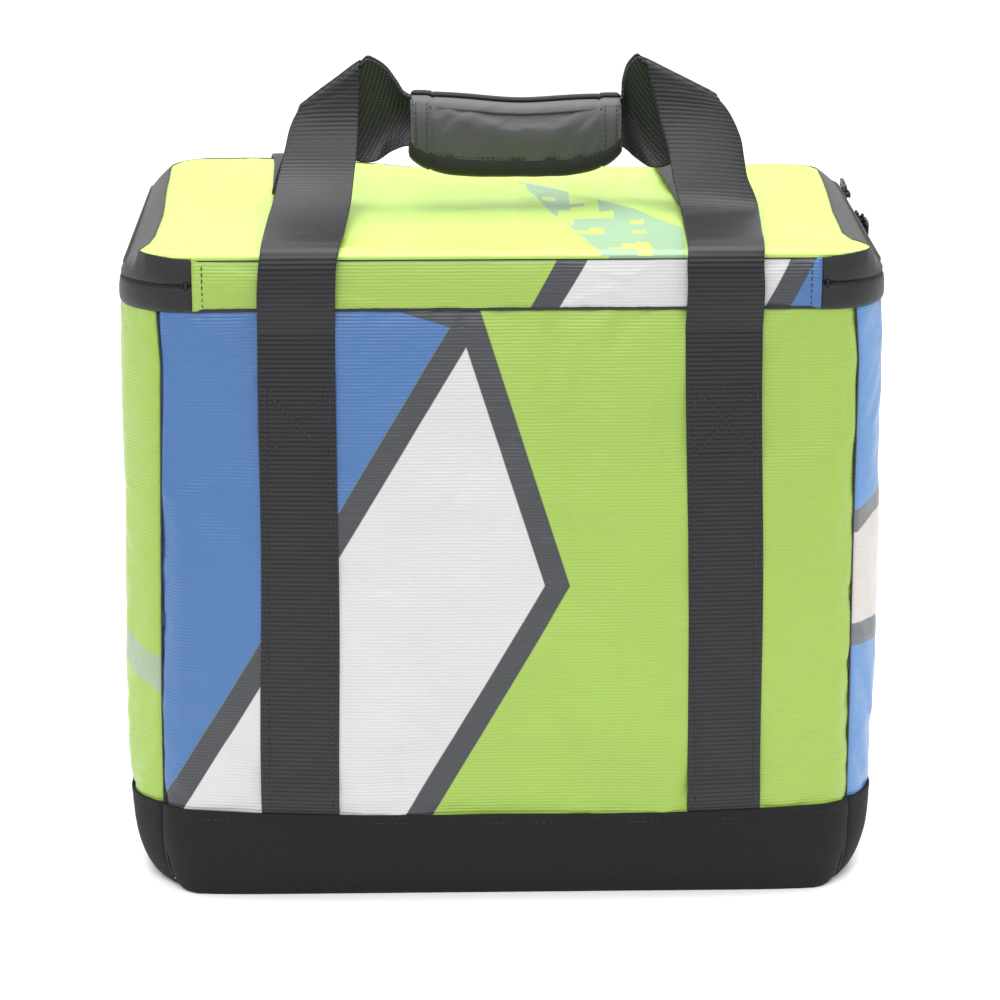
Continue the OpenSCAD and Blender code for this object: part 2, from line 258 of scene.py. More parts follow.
def normals_of(grid, wrap=False):
    """Unit normals of a grid of points, for columns running with the outline and rows upwards."""
    du = np.gradient(grid, axis=1)
    if wrap:
        du[:, 0] = grid[:, 1] - grid[:, -1]
        du[:, -1] = grid[:, 0] - grid[:, -2]
    n = np.cross(du, np.gradient(grid, axis=0))
    return n / np.maximum(np.linalg.norm(n, axis=-1, keepdims=True), 1e-9)


def band(name, s, z, out, thick, look, wrap=False):
    """A strip of cloth round the body. s runs along the outline and z upwards; out and z may vary."""
    ss, zz = np.meshgrid(s, z) if np.ndim(z) == 1 else (np.broadcast_to(s, z.shape), z)
    out = out(ss, zz) if callable(out) else out
    outer = on_body(ss, zz, out)
    inner = outer - normals_of(outer, wrap) * thick
    return shell(name, outer, inner, look, np.stack([ss, zz], -1), wrap)


def unit(vectors):
    return vectors / np.linalg.norm(vectors, axis=1, keepdims=True)


def distances(path):
    """Distance along a path to each of its points."""
    return np.concatenate([[0], np.cumsum(np.linalg.norm(np.diff(path, axis=0), axis=1))])


def steps(a, b, pitch):
    return np.linspace(a, b, max(2, int(round(abs(b - a) / pitch)) + 1))


def tube(name, path, radius, look, sides=8, closed=False):
    """A round cord along a path of points."""
    path = np.asarray(path, float)
    along = np.gradient(path, axis=0)
    if closed:
        along[0] = path[1] - path[-1]
        along[-1] = path[0] - path[-2]
    along = unit(along)
    side = np.cross(along, [0.0, 0.0, 1.0])
    flat = np.linalg.norm(side, axis=1) < 0.2
    side[flat] = np.cross(along[flat], [0.0, 1.0, 0.0])
    side = unit(side)
    up = np.cross(side, along)
    turn = np.linspace(0, 2 * math.pi, sides, endpoint=False)
    c, s = np.cos(turn)[None, :, None], np.sin(turn)[None, :, None]
    ring = path[:, None] + radius * (c * side[:, None] + s * up[:, None])
    n = len(path)
    faces = grid_faces(n, sides, wrap=True, flip=True)
    if closed:
        last = (n - 1) * sides
        faces += [[last + k, k, (k + 1) % sides, last + (k + 1) % sides][::-1] for k in range(sides)]
    else:
        faces += [list(range(sides)), list(range(n * sides - 1, (n - 1) * sides - 1, -1))]
    weave = np.stack(np.broadcast_arrays(turn[None] * radius, distances(path)[:, None]), -1)
    return piece(name, ring, faces, look, weave)


def copies(name, template, faces, at, u, v, w, look):
    """Copies of a small template, one at each point of at, with its axes along u, v and w."""
    n, k = len(at), len(template)
    points = (at[:, None] + template[None, :, 0:1] * u[:, None] + template[None, :, 1:2] * v[:, None]
              + template[None, :, 2:3] * w[:, None])
    every = (np.arange(n)[:, None, None] * k + np.asarray(faces)[None]).reshape(-1, 4)
    return piece(name, points, every, look)


def bead(length, width, height, rings=5, sides=6):
    """Points and faces of a rounded bar: one stitch, or one tooth of a coil."""
    points = []
    for t in np.linspace(-1, 1, rings):
        r = math.sqrt(max(0.06, 1 - abs(t) ** 3))
        for a in np.linspace(0, 2 * math.pi, sides, endpoint=False):
            points.append((t * length / 2, math.cos(a) * r * width / 2, math.sin(a) * r * height / 2))
    faces = grid_faces(rings, sides, wrap=True)
    cap = [(0, 1, 2, 3), (0, 3, 4, 5)]
    last = (rings - 1) * sides
    faces += [[f for f in reversed(q)] for q in cap] + [[last + f for f in q] for q in cap]
    return np.array(points), faces


def resample(path, pitch):
    """Points at even distances along a polyline, with their directions."""
    path = np.asarray(path, float)
    run = distances(path)
    at = np.arange(pitch / 2, run[-1], pitch)
    points, ahead, behind = (np.stack([np.interp(at + shift, run, path[:, k]) for k in range(3)], -1)
                             for shift in (0, 0.4, -0.4))
    return points, unit(ahead - behind)


def stitches(name, paths, normal, look, pitch=3.4, width=0.75):
    """Rows of thread stitches along paths on a surface that faces normal."""
    points, along = map(np.concatenate, zip(*(resample(p, pitch) for p in paths)))
    out = normal(points) if callable(normal) else np.broadcast_to(np.asarray(normal, float), points.shape)
    side = unit(np.cross(out, along))
    form, faces = bead(pitch * 0.74, width, width * 0.9)
    return copies(name, form, faces, points, along, side, np.cross(along, side), look)


def settled(grid, pinned, slack, pull, cap, frames=16):
    """A sheet's points after a cloth run that lets it buckle between its sewn points, moved at most cap."""
    rows, cols = grid.shape[:2]
    sheet = piece("settling", grid, grid_faces(rows, cols), None)
    group = sheet.vertex_groups.new(name="sewn")
    group.add([int(i) for i in np.flatnonzero(pinned.ravel())], 1.0, "REPLACE")
    cloth = sheet.modifiers.new("settle", "CLOTH")
    cloth.settings.vertex_group_mass = "sewn"
    values = {"quality": 6, "mass": 0.002, "tension_stiffness": 25, "compression_stiffness": 25,
              "shear_stiffness": 10, "bending_stiffness": 0.4, "shrink_min": -slack}
    for key, value in values.items():
        setattr(cloth.settings, key, value)
    cloth.point_cache.frame_end = frames + 1
    scene = bpy.context.scene
    was = scene.gravity.copy()
    scene.gravity = pull
    for step in range(1, frames + 1):
        scene.frame_set(step)
    seen = sheet.evaluated_get(bpy.context.evaluated_depsgraph_get())
    moved = points_of(seen).reshape(grid.shape) - grid
    scene.frame_set(1)
    scene.gravity = was
    mesh = sheet.data
    bpy.data.objects.remove(sheet)
    bpy.data.meshes.remove(mesh)
    size = np.maximum(np.linalg.norm(moved, axis=-1, keepdims=True), 1e-6)
    return grid + moved * cap * np.tanh(size / cap) / size


# ---------------------------------------------------------------- materials
def colour(code):
    """Linear colour of a six-digit hex code."""
    parts = [int(code[k:k + 2], 16) / 255 for k in (0, 2, 4)]
    return tuple(c / 12.92 if c <= 0.04045 else ((c + 0.055) / 1.055) ** 2.4 for c in parts) + (1.0,)


class Look:
    """One material, and the few node steps that the looks are made of."""

    def __init__(self, name, roughness=0.6, **sockets):
        self.material = bpy.data.materials.new(name)
        self.material.use_nodes = True
        self.tree = self.material.node_tree
        self.shader = self.tree.nodes["Principled BSDF"]
        self.shader.inputs["Roughness"].default_value = roughness
        for key, value in sockets.items():
            self.shader.inputs[key.replace("_", " ")].default_value = value
        self.rest = self.node("Attribute", {}, "Vector", attribute_name="rest")
        self.weave = self.node("Attribute", {}, "Vector", attribute_name="weave")

    def feed(self, socket, value):
        if isinstance(value, bpy.types.NodeSocket):
            self.tree.links.new(value, socket)
        else:
            socket.default_value = value

    def node(self, kind, inputs, out=0, **settings):
        """One output of a new node. inputs gives values or sockets by the inputs' names or places."""
        made = self.tree.nodes.new("ShaderNode" + kind)
        for key, value in settings.items():
            setattr(made, key, value)
        for key, value in inputs.items():
            self.feed(made.inputs[key], value)
        return made.outputs[out]

    def math(self, operation, a, b=0.0, c=0.0, clamp=False):
        return self.node("Math", {0: a, 1: b, 2: c}, operation=operation, use_clamp=clamp)

    def axis(self, vector, k):
        return self.node("SeparateXYZ", {0: vector}, k)

    def mix(self, factor, a, b):
        return self.node("Mix", {0: factor, 6: a, 7: b}, 2, data_type="RGBA")

    def noise(self, vector, scale, detail=3.0, stretch=(1, 1, 1)):
        mapped = self.node("Mapping", {"Vector": vector, "Scale": [scale * k for k in stretch]})
        return self.node("TexNoise", {"Vector": mapped, "Scale": 1.0, "Detail": detail})

    def squares(self, size):
        """Positions at rest, rounded to squares of that size."""
        return self.node("VectorMath", {0: self.rest, 1: (size, size, size)}, operation="SNAP")

    def wave(self, value, pitch, phase=0.0):
        """A sine of that pitch, from 0 to 1."""
        turned = self.math("MULTIPLY_ADD", value, 2 * math.pi / pitch, phase)
        return self.math("MULTIPLY_ADD", self.math("SINE", turned), 0.5, 0.5)

    def half_plane(self, p, q, axes=(0, 2), soft=0.5):
        """1 on the right-hand side of the line from p to q, in millimetres on those two axes at rest."""
        dx, dz = q[0] - p[0], q[1] - p[1]
        size = math.hypot(dx, dz)
        normal = [0.0, 0.0, 0.0]
        normal[axes[0]], normal[axes[1]] = dz / size, -dx / size
        distance = self.node("VectorMath", {0: self.rest, 1: normal}, "Value", operation="DOT_PRODUCT")
        offset = (p[0] * dz - p[1] * dx) / size
        return self.math("MULTIPLY_ADD", distance, 1 / soft, 0.5 - offset / soft, clamp=True)

    def every(self, *masks):
        return reduce(lambda a, b: self.math("MINIMUM", a, b), masks)

    def any(self, *masks):
        return reduce(lambda a, b: self.math("MAXIMUM", a, b), masks)

    def right_of(self, *points, axes=(0, 2)):
        """1 on the right-hand side of every leg of a path."""
        return self.every(*(self.half_plane(p, q, axes) for p, q in zip(points, points[1:])))

    def tint(self, base, amount, scale):
        """The base colour, a little lighter and darker in patches."""
        patches = self.math("MULTIPLY_ADD", self.noise(self.rest, scale), 2 * amount, 1 - amount)
        flat = base if isinstance(base, bpy.types.NodeSocket) else base[:3]
        return self.node("VectorMath", {0: flat, "Scale": patches}, operation="SCALE")

    def finish(self, base, height=None, depth=0.2, rough=None):
        """Sets the colour, the relief in millimetres and the roughness."""
        self.feed(self.shader.inputs["Base Color"], base)
        if height is not None:
            bump = self.node("Bump", {"Strength": 1.0, "Distance": depth * MM, "Height": height})
            self.feed(self.shader.inputs["Normal"], bump)
        if rough is not None:
            low, high = rough
            patches = self.math("MULTIPLY_ADD", self.noise(self.rest, 0.05), high - low, low)
            self.feed(self.shader.inputs["Roughness"], patches)
        return self.material


LIME, LIME_LID, TEAL, SAGE = map(colour, ("829F3B", "A4C456", "7F9F7C", "809377"))
BLUE, PALE_BLUE, OUTLINE, GREY = map(colour, ("2E598C", "5079A8", "26292E", "595C60"))
WHITE, BEIGE = map(colour, ("AFAFAE", "B3ADA8"))


def vinyl(name, print_of):
    """Coated banner fabric: a printed colour under a clear coat, over a ribbed scrim."""
    look = Look(name, 0.42, Coat_Weight=0.15, Coat_Roughness=0.3)
    u, v = look.axis(look.weave, 0), look.axis(look.weave, 1)
    threads = look.math("MULTIPLY_ADD", look.wave(u, 1.9), 0.15, look.wave(v, 1.7))
    slubs = look.math("MULTIPLY_ADD", look.noise(look.weave, 0.5, 2, (0.15, 1, 1)), 1.1, threads)
    grain = look.math("MULTIPLY_ADD", look.noise(look.weave, 2.5), 0.3, slubs)
    base = look.tint(print_of(look), 0.05, 0.02)
    return look.finish(base, grain, 0.18, (0.34, 0.5))


def front_print(look):
    """Blue above left, a white kite with a dark outline, and lime."""
    apex, tip, foot = (-28, 299), (-13, 307), (-173, 55)
    beside_blue = look.any(look.half_plane(foot, apex), look.half_plane(apex, (-57, 308)))
    outer = look.every(beside_blue, look.right_of(tip, (31, 168), (-37, 49)))
    kite = look.right_of((-164, 48), (-20, 289), (18.5, 168.5), (-51, 49))
    made = look.mix(look.half_plane(apex, foot), LIME, BLUE)
    return look.mix(kite, look.mix(outer, made, OUTLINE), WHITE)


def back_print(look):
    """Lime with a broad white slant between dark edges, and blue below."""
    made = look.mix(look.half_plane((-185, 120), (185, 40)), LIME, BLUE)
    for right, left, shade in ((60, 40, OUTLINE), (48, 54, WHITE)):
        slant = look.every(look.half_plane((right, 308), (right + 90, 40)),
                           look.half_plane((left, 40), (left - 100, 308)))
        made = look.mix(slant, made, shade)
    return made


def left_print(look):
    """Lime with one sage stripe that slants down towards the front."""
    stripe = look.every(look.half_plane((-90, 116.4), (-112, 104.6), (1, 2)),
                        look.half_plane((-112, 123.6), (-90, 135.4), (1, 2)))
    return look.mix(stripe, LIME, SAGE)


def right_print(look):
    """Blue, a beige block between two grey lines, and blue again."""
    made = PALE_BLUE
    for p, q, shade in (((-112, 199), (-90, 212), GREY), ((-112, 187), (-90, 200), BEIGE),
                        ((-115, 142), (115, 142), GREY), ((-115, 130), (115, 130), PALE_BLUE)):
        made = look.mix(look.half_plane(p, q, (1, 2)), made, shade)
    return made


def lid_print(look):
    """Lime with a broken streak that widens to the front edge on the right."""
    streak = look.right_of((46, -116), (7, 66), (88, -60), (86, -116), axes=(0, 1))
    blocks = look.math("GREATER_THAN", look.noise(look.squares(7), 0.045, 2, (1, 0.6, 0.2)), 0.46)
    return look.mix(look.math("MULTIPLY", streak, blocks), LIME_LID, TEAL)


def strip_print(look):
    """Lime, a white block between dark slants, and blue at the right end."""
    made = LIME
    for foot, top, shade in ((11, 24, OUTLINE), (25, 39, WHITE), (125, 137, OUTLINE), (137, 149, BLUE)):
        made = look.mix(look.half_plane((foot, body_top), (top, seam_h)), made, shade)
    return made


def cloth_look(name, code, pitch, depth, rough, sheen=0.15):
    """Plain woven fabric with a thread pitch in millimetres."""
    look = Look(name, rough, Sheen_Weight=sheen, Sheen_Roughness=0.5, Specular_IOR_Level=0.3)
    u, v = look.axis(look.weave, 0), look.axis(look.weave, 1)
    over = look.math("MULTIPLY", look.wave(u, pitch), look.wave(v, pitch))
    under = look.math("MULTIPLY", look.wave(u, pitch, math.pi), look.wave(v, pitch, math.pi))
    woven = look.math("ADD", over, under)
    height = look.math("MULTIPLY_ADD", look.noise(look.weave, 0.8), 0.5, woven)
    shade = colour(code)
    lit = tuple(min(1, c * 1.7) for c in shade[:3]) + (1,)
    base = look.mix(look.math("MULTIPLY", woven, 0.5), shade, lit)
    return look.finish(look.tint(base, 0.12, 0.03), height, depth)


def webbing_look():
    """Heavy woven webbing: fine twill threads over broad cross ribs."""
    look = Look("webbing_cloth", 0.42, Specular_IOR_Level=0.3)
    u, v = look.axis(look.weave, 0), look.axis(look.weave, 1)
    slant = look.wave(look.math("MULTIPLY_ADD", v, 0.5, u), 1.25)
    cross = look.wave(look.math("MULTIPLY_ADD", v, -0.5, u), 1.25)
    ribs = look.wave(v, 2.3)
    twill = look.mix(look.math("GREATER_THAN", look.wave(v, 4.6), 0.5), slant, cross)
    threads = look.math("MULTIPLY", twill, ribs)
    height = look.math("MULTIPLY_ADD", threads, 0.9, look.math("MULTIPLY", ribs, 0.5))
    # The raised threads are painted lighter than the sunk ones: painted highlight on the thread tops.
    base = look.mix(threads, colour("070708"), colour("34353A"))
    return look.finish(look.tint(base, 0.1, 0.05), height, 0.075)


def plain(name, code, rough, scale, depth, metallic=0.0):
    """A moulded, cast or drawn material with fine grain."""
    look = Look(name, rough, Metallic=metallic)
    grain = look.noise(look.rest, scale, 4)
    return look.finish(look.tint(colour(code), 0.08, scale / 6), grain, depth, (rough * 0.85, rough * 1.15))


def liner_look():
    """Silver welded liner with a fine embossed square."""
    look = Look("liner_film", 0.32, Metallic=0.55)
    u, v = look.axis(look.weave, 0), look.axis(look.weave, 1)
    emboss = look.math("MAXIMUM", look.math("POWER", look.wave(u, 4), 8), look.math("POWER", look.wave(v, 4), 8))
    height = look.math("MULTIPLY_ADD", look.noise(look.rest, 0.25), 1.5, emboss)
    return look.finish(look.tint(colour("C9CBCE"), 0.06, 0.03), height, 0.12)


prints = {"front": front_print, "back": back_print, "left": left_print, "right": right_print,
          "lid": lid_print, "strip": strip_print}
VINYL = {part: vinyl(f"vinyl_{part}_print", print_of) for part, print_of in prints.items()}
BOOT = cloth_look("boot_cloth", "080809", 0.9, 0.12, 0.8, 0.0)
BAND = cloth_look("band_cloth", "121315", 1.1, 0.12, 0.55, 0.1)
# The grip's cloth in two copies: the flap's is lighter, painted light for its lit top, and the pad's is darker,
# painted shade for its shaded underside.
GRIP = cloth_look("grip_cloth", "363639", 0.8, 0.06, 0.48, 0.3)
GRIP_PAD_PAINTED_SHADE = cloth_look("grip_pad_painted_shade", "0E0E0F", 0.8, 0.06, 0.55, 0.1)
WEBBING = webbing_look()
THREAD = plain("sewing_thread", "1B1B1C", 0.6, 3, 0.1)
TAPE = cloth_look("zip_tape_cloth", "1A1A1B", 0.7, 0.1, 0.7)
COIL = plain("zip_coil_nylon", "242426", 0.38, 1.5, 0.05)
METAL = plain("zip_metal_plate", "303135", 0.36, 0.8, 0.03, 1.0)
BOARD = plain("board_plastic", "1D1D1E", 0.55, 0.6, 0.15)
FOAM = plain("foam_cells", "ECECE8", 0.85, 1.6, 0.5)
LINER = liner_look()
BINDING = cloth_look("binding_tape", "1F1F21", 0.8, 0.15, 0.7)
HOOKS = plain("hook_and_loop_pile", "161617", 0.9, 2.2, 0.8)


def dressed(made, nodes):
    if nodes:
        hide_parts(*nodes)
    return made


def place(made, body, slot, *nodes):
    """The piece rides on a body and stands for those CAD nodes, which are hidden; slot is not used."""
    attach(made, body)
    return dressed(made, nodes)


def span(made, start_body, end_body, z0, z1, slot, *nodes):
    """The piece keeps its place, with its transform baked in, and stands for those CAD nodes, which are hidden;
    start_body, end_body, z0 and z1 are not used.
    """
    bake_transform(made)
    return dressed(made, nodes)


def patch(edge, nu, nv):
    """A grid of points that fills the closed curve edge(s), from the front to the back and from left to right."""
    u, v = np.linspace(0, 1, nu), np.linspace(0, 1, nv)
    side = tip_back_s - tip_s
    front = edge(-tip_s + 2 * tip_s * u)[None]
    back = edge(outline_l - tip_back_s - u * (outline_l - 2 * tip_back_s))[None]
    left = edge(outline_l - tip_s - v * side)[:, None]
    right = edge(tip_s + v * side)[:, None]
    uu, vv = u[None, :, None], v[:, None, None]
    corners = ((1 - uu) * (1 - vv) * front[:, :1] + uu * (1 - vv) * front[:, -1:]
               + (1 - uu) * vv * back[:, :1] + uu * vv * back[:, -1:])
    return (1 - vv) * front + vv * back + (1 - uu) * left + uu * right - corners


def flat_sheet(name, edge, z0, z1, look, ruffle=0.0, seed=1, nu=60, nv=40):
    """A flat piece between two heights inside the curve edge, with a ruffled top and bottom."""
    grid = patch(edge, nu, nv)
    wave = ruffle * ripple(grid[..., 0], grid[..., 1], 60, seed)
    top, bottom = grid.copy(), grid.copy()
    top[..., 2] = z1 + wave
    bottom[..., 2] = z0 + wave
    return shell(name, top, bottom, look, grid[..., :2])


# ---------------------------------------------------------------- panels and boot
def panel_relief(a, b, seed):
    """Relief of a vinyl panel sewn at distances a and b: edges dip in, with puckers along them."""
    def relief(s, z):
        edge = np.minimum(s - a, b - s)
        top = body_top + 1 - z
        foot = z - boot_h
        dip = 1.2 * np.exp(-edge / 1.3) + 1.5 * np.exp(-top / 2.2)
        pucker = 0.55 * np.exp(-edge / 13) * ripple(s * 0.35, z, 17, seed)
        pucker += 0.75 * np.exp(-top / 13) * ripple(s, z * 0.4, 19, seed + 1)
        pucker += 0.5 * np.exp(-foot / 10) * ripple(s, z * 0.4, 23, seed + 2)
        return pucker * smooth(-1, 5, foot) - dip + 0.3 * ripple(s, z, 75, seed + 3) - 0.5 * np.exp(-foot / 4)
    return relief


def body_panel(name, a, b, seed, look, slack=0.006):
    s, z = np.meshgrid(steps(a, b, 2.6), steps(boot_h - 2.5, body_top + 0.8, 2.6))
    outer = on_body(s, z, panel_relief(a, b, seed)(s, z))
    pinned = np.zeros(s.shape, bool)
    pinned[[0, -1]] = pinned[:, [0, -1]] = True
    outer = settled(outer, pinned, slack, (0, 0, -2), 1.1)
    return shell(name, outer, outer - normals_of(outer) * 1.2, look, np.stack([s, z], -1))


def boot_panel(name, a, b, seed):
    low_rows = 0.72 * boot_h * np.linspace(0, 1, 18) ** 2
    rows = np.concatenate([low_rows[low_rows < 30] + 0.25, steps(31, boot_h + 1.2, 0.9)])

    def relief(s, z):
        edge = np.minimum(s - a, b - s)
        hem = 0.45 * np.exp(-((z - boot_h + 3.6) / 0.7) ** 2) + 0.2 * smooth(boot_h, boot_h + 1.2, z)
        waves = 0.35 * ripple(s, z * 0.6, 45, seed) + 0.4 * np.exp(-edge / 9) * ripple(s * 0.4, z, 15, seed + 1)
        return 1.3 * smooth(8, 34, z) + waves * smooth(3, 20, z) - hem - 1.1 * np.exp(-edge / 1.4)
    return band(name, steps(a, b, 2.4), rows, relief, 1.2, BOOT)


back_mid = outline_l / 2
faces_of = {"front": (-seam_s, seam_s), "right": (seam_s, seam_back_s),
            "back": (seam_back_s, outline_l - seam_back_s), "left": (outline_l - seam_back_s, outline_l - seam_s)}
for number, (side, (a, b)) in enumerate(faces_of.items()):
    made = body_panel(f"{side}_vinyl", a, b, 11 + 5 * number, VINYL[side])
    place(made, "bag_body", f"vinyl_{side}", f"{side}_panel")
    made = boot_panel(f"{side}_boot_cloth", a, b, 51 + 5 * number)
    place(made, "bag_body", "boot_fabric", f"boot_{side}")

seams = [seam_s, seam_back_s, outline_l - seam_back_s, outline_l - seam_s]
for number, s in enumerate(seams):
    z = steps(7, body_top + 0.5, 3)
    path = on_body(np.full(z.shape, s), z, -0.8 + 0.7 * smooth(boot_h + 2, boot_h - 2, z))
    place(tube(f"corner_seam_{number}", path, 0.5, BINDING), "bag_body", "binding")


def outward(points):
    """Rough outward directions on the upright walls."""
    x = np.clip(points[:, 0], -straight_x, straight_x)
    y = np.clip(points[:, 1], -straight_y, straight_y)
    d = np.stack([points[:, 0] - x, points[:, 1] - y, 0 * x], -1)
    return d / np.maximum(np.linalg.norm(d, axis=1, keepdims=True), 1e-6)


hem = []
for a, b in faces_of.values():
    s = steps(a + 2, b - 2, 1.5)
    hem.append(on_body(s, np.full(s.shape, boot_h - 3.6), 0.75))
place(stitches("boot_hem_stitching", hem, outward, THREAD, width=0.55), "bag_body", "thread")

bottom = flat_sheet("boot_base_cloth", lambda s: on_body(s, 0 * s, 0.6), 0.1, 1.5, BOOT, 0.0, 3)
place(bottom, "bag_body", "boot_fabric", "boot_bottom")
board = flat_sheet("base_board_sheet", lambda s: on_body(s, 0 * s + 2, -3.0), 1.7, 4.4, BOARD, 0.0, 4)
place(board, "bag_body", "board", "base_board")

# ---------------------------------------------------------------- foam and liner
foam_arcs = {"front": (-right_s, right_s), "right": (right_s, right_s + 2 * straight_y),
             "back": (right_s + 2 * straight_y, left_s), "left": (left_s, outline_l - right_s)}
for number, (side, (a, b)) in enumerate(foam_arcs.items()):
    foam = band(f"{side}_foam_sheet", steps(a + 0.3, b - 0.3, 5), steps(floor_z + 0.5, foam_top - 0.2, 6),
                lambda s, z: -1.9 + 0.15 * ripple(s, z, 60, 5), 7.2, FOAM)
    place(foam, "bag_body", "foam", f"foam_{side}")
floor_foam = flat_sheet("floor_foam_sheet", lambda s: on_body(s, 0 * s + 8, -2.4), 4.7, floor_z - 0.2, FOAM, 0.1, 6)
place(floor_foam, "bag_body", "foam", "foam_floor")


def liner_relief(s, z):
    low = np.exp(-(z - floor_z) / 12)
    folds = 1.0 * ripple(s, z * 0.25, 38, 71) * (0.4 + 0.6 * smooth(floor_z, foam_top, z))
    folds = folds + 0.35 * ripple(s, z, 16, 72)
    folds = folds * smooth(foam_top - 5, foam_top - 22, z)
    return -liner_inset - 0.8 - np.abs(folds) - 3.0 * low


liner_s = np.linspace(0, outline_l, 420, endpoint=False)
tub = band("liner_walls", liner_s, steps(floor_z + 0.8, foam_top, 3.5), liner_relief, 0.7, LINER, wrap=True)
place(tub, "bag_body", "liner", "liner_tub")
floor_liner = flat_sheet("liner_floor", lambda s: on_body(s, 0 * s + floor_z, -liner_inset - 1.5),
                         floor_z, floor_z + 0.9, LINER, 0.6, 8, 90, 60)
place(floor_liner, "bag_body", "liner")
rim_out = np.array([-1.4, -1.2, -1.3, -2.2, -6.0, -10.2, -11.8, -12.1, -12.0])
rim_z = np.array([foam_top - 4.5, foam_top - 1, foam_top + 1, 318.4, 318.8, 318.5, foam_top + 1, foam_top - 2,
                  foam_top - 6])


def round_tape(name, out, z, thick):
    """Binding tape round the opening, from its section's points."""
    heights = np.repeat(z[:, None], len(liner_s), 1)
    return band(name, liner_s, heights, out[:, None] + 0 * liner_s, thick, BINDING, True)


place(round_tape("rim_tape", rim_out, rim_z, 0.6), "bag_body", "binding", "rim_binding")


# ---------------------------------------------------------------- lid
def lean(s):
    """How far the lid's edge lies inside the body's outline."""
    s = np.mod(s, outline_l)
    at = [175, 182, 190, 198, 215, 262, 326, 380, 440]
    right = np.interp(s, at, [0, 2.5, 10, 15, 18.5, 17.5, 14, 12, 8])
    left = np.interp(outline_l - s, at, [0, 2.5, 10, 14, 16, 16.5, 13.5, 12.5, 8])
    return np.where(s < outline_l / 2, right, left)


def lid_edge_z(s):
    """Height of the lid's edge seam: lower at the front and sagging at the back."""
    s = np.mod(s, outline_l)
    near = np.minimum(s, outline_l - s)
    sag = 4.2 * np.exp(-((s - back_mid) / 95) ** 2)
    back = smooth(right_s + 2 * straight_y - 60, back_s, near)
    tilt = back * np.where(s > outline_l / 2, 3.3, -1.6) * smooth(outline_l / 2 - 20, outline_l / 2 - 110, near)
    return seam_h + 0.8 + 1.9 * smooth(hinge_x, tip_s, near) - sag + tilt


def lid_edge(s):
    return on_body(s, lid_edge_z(s), 0.4 - lean(s))


def ridge(x, y, p, q, height, near, far):
    """A crease from p to q that falls away over near millimetres on its left and far on its right."""
    d = np.array(q, float) - p
    size = np.hypot(*d)
    across = ((x - p[0]) * d[1] - (y - p[1]) * d[0]) / size
    along = ((x - p[0]) * d[0] + (y - p[1]) * d[1]) / size ** 2
    ends = smooth(-0.15, 0.2, along) * (1 - smooth(0.75, 1.15, along))
    return height * ends * np.where(across < 0, np.exp(across / near), np.exp(-across / far))


def lid_height(x, y):
    """Height of the lid's top: nearly flat, sagging towards the back, with creases under the handle."""
    top = lid_top + 0.3 - 4.6 * np.exp(-((x - 12) / 95) ** 2 - ((y - 100) / 62) ** 2)
    top -= 1.4 * np.exp(-((x + 4) / 60) ** 2 - ((y + 5) / 42) ** 2)
    for crease in (((-18, 92), (88, -58), 2.6, 22, 5), ((-60, 60), (-72, -60), 1.4, 6, 14),
                   ((60, 90), (70, -40), 1.6, 8, 12), ((-40, 100), (10, -40), 1.3, 10, 16)):
        top += ridge(x, y, *crease)
    top += 0.25 * ripple(x, y * 0.6, 42, 31)
    top += smooth(10, 108, y) * (3.3 * np.exp(-((x + 145) / 55) ** 2) - 1.6 * np.exp(-((x - 150) / 50) ** 2))
    return top


def lid_grid():
    grid = patch(lid_edge, 150, 96)
    x, y, edge_z = grid[..., 0], grid[..., 1], grid[..., 2].copy()
    front = np.clip(y - grid[:1, :, 1], 0, None)
    back = np.clip(grid[-1:, :, 1] - y, 0, None)
    side = np.clip(np.minimum(x - grid[:, :1, 0], grid[:, -1:, 0] - x), 0, None)
    roll = np.sqrt(1 - (1 - np.clip(front / 9, 0, 1)) ** 2)
    share = roll * (1 - np.exp(-side / 5)) * (1 - np.exp(-back / 6))
    grid[..., 2] = edge_z + (lid_height(x, y) - edge_z) * share
    grid[..., 1] -= 1.1 * np.exp(-((front - 2.5) / 2.5) ** 2) * (1 - smooth(tip_s - 30, tip_s - 10, np.abs(x)))
    return grid


pad_z = 323.6                               # undersides inside the lid
lining_z = 322.6
lid_points = lid_grid()
sewn = np.zeros(lid_points.shape[:2], bool)
sewn[:3] = sewn[-2:] = sewn[:, :2] = sewn[:, -2:] = True
lid_points = settled(lid_points, sewn, 0.006, (0, 0, -3), 1.4)
lid_up = normals_of(lid_points)
cover = shell("lid_cover", lid_points, lid_points - lid_up * 1.3, VINYL["lid"], lid_points[..., :2])
place(cover, "lid", "vinyl_lid", "lid_panel")
pad_top = lid_points - lid_up * 1.6
pad_low = patch(lambda s: on_body(s, 0 * s + pad_z, -2.6 - 0.35 * lean(s)), 150, 96)
pad = shell("lid_foam_pad", pad_top, pad_low, FOAM, lid_points[..., :2])
place(pad, "lid", "foam", "lid_foam")
lining = flat_sheet("lid_lining", lambda s: on_body(s, 0 * s + lining_z, -2.4), 322.3, 323.0, LINER,
                    0.35, 9, 110, 70)
place(lining, "lid", "liner", "lid_liner")
lid_tape = round_tape("lid_tape", np.array([-1.6, -4.5, -7.5]), np.array([321.9, 321.5, 321.9]), 0.5)
place(lid_tape, "lid", "binding", "lid_binding")

# ---------------------------------------------------------------- zip
tooth = 1.6                                 # pitch of the coil
slit = 0.8                                  # half the gap between the two halves of the band
zip_s = steps(hinge_x + 0.2, outline_l - hinge_x - 0.2, tooth / 2)


def ridges(s, distance):
    """Fine upright ridges where the coil shows through the band."""
    return 0.3 * np.exp(-distance / 3.2) * np.cos(2 * math.pi * s / tooth)


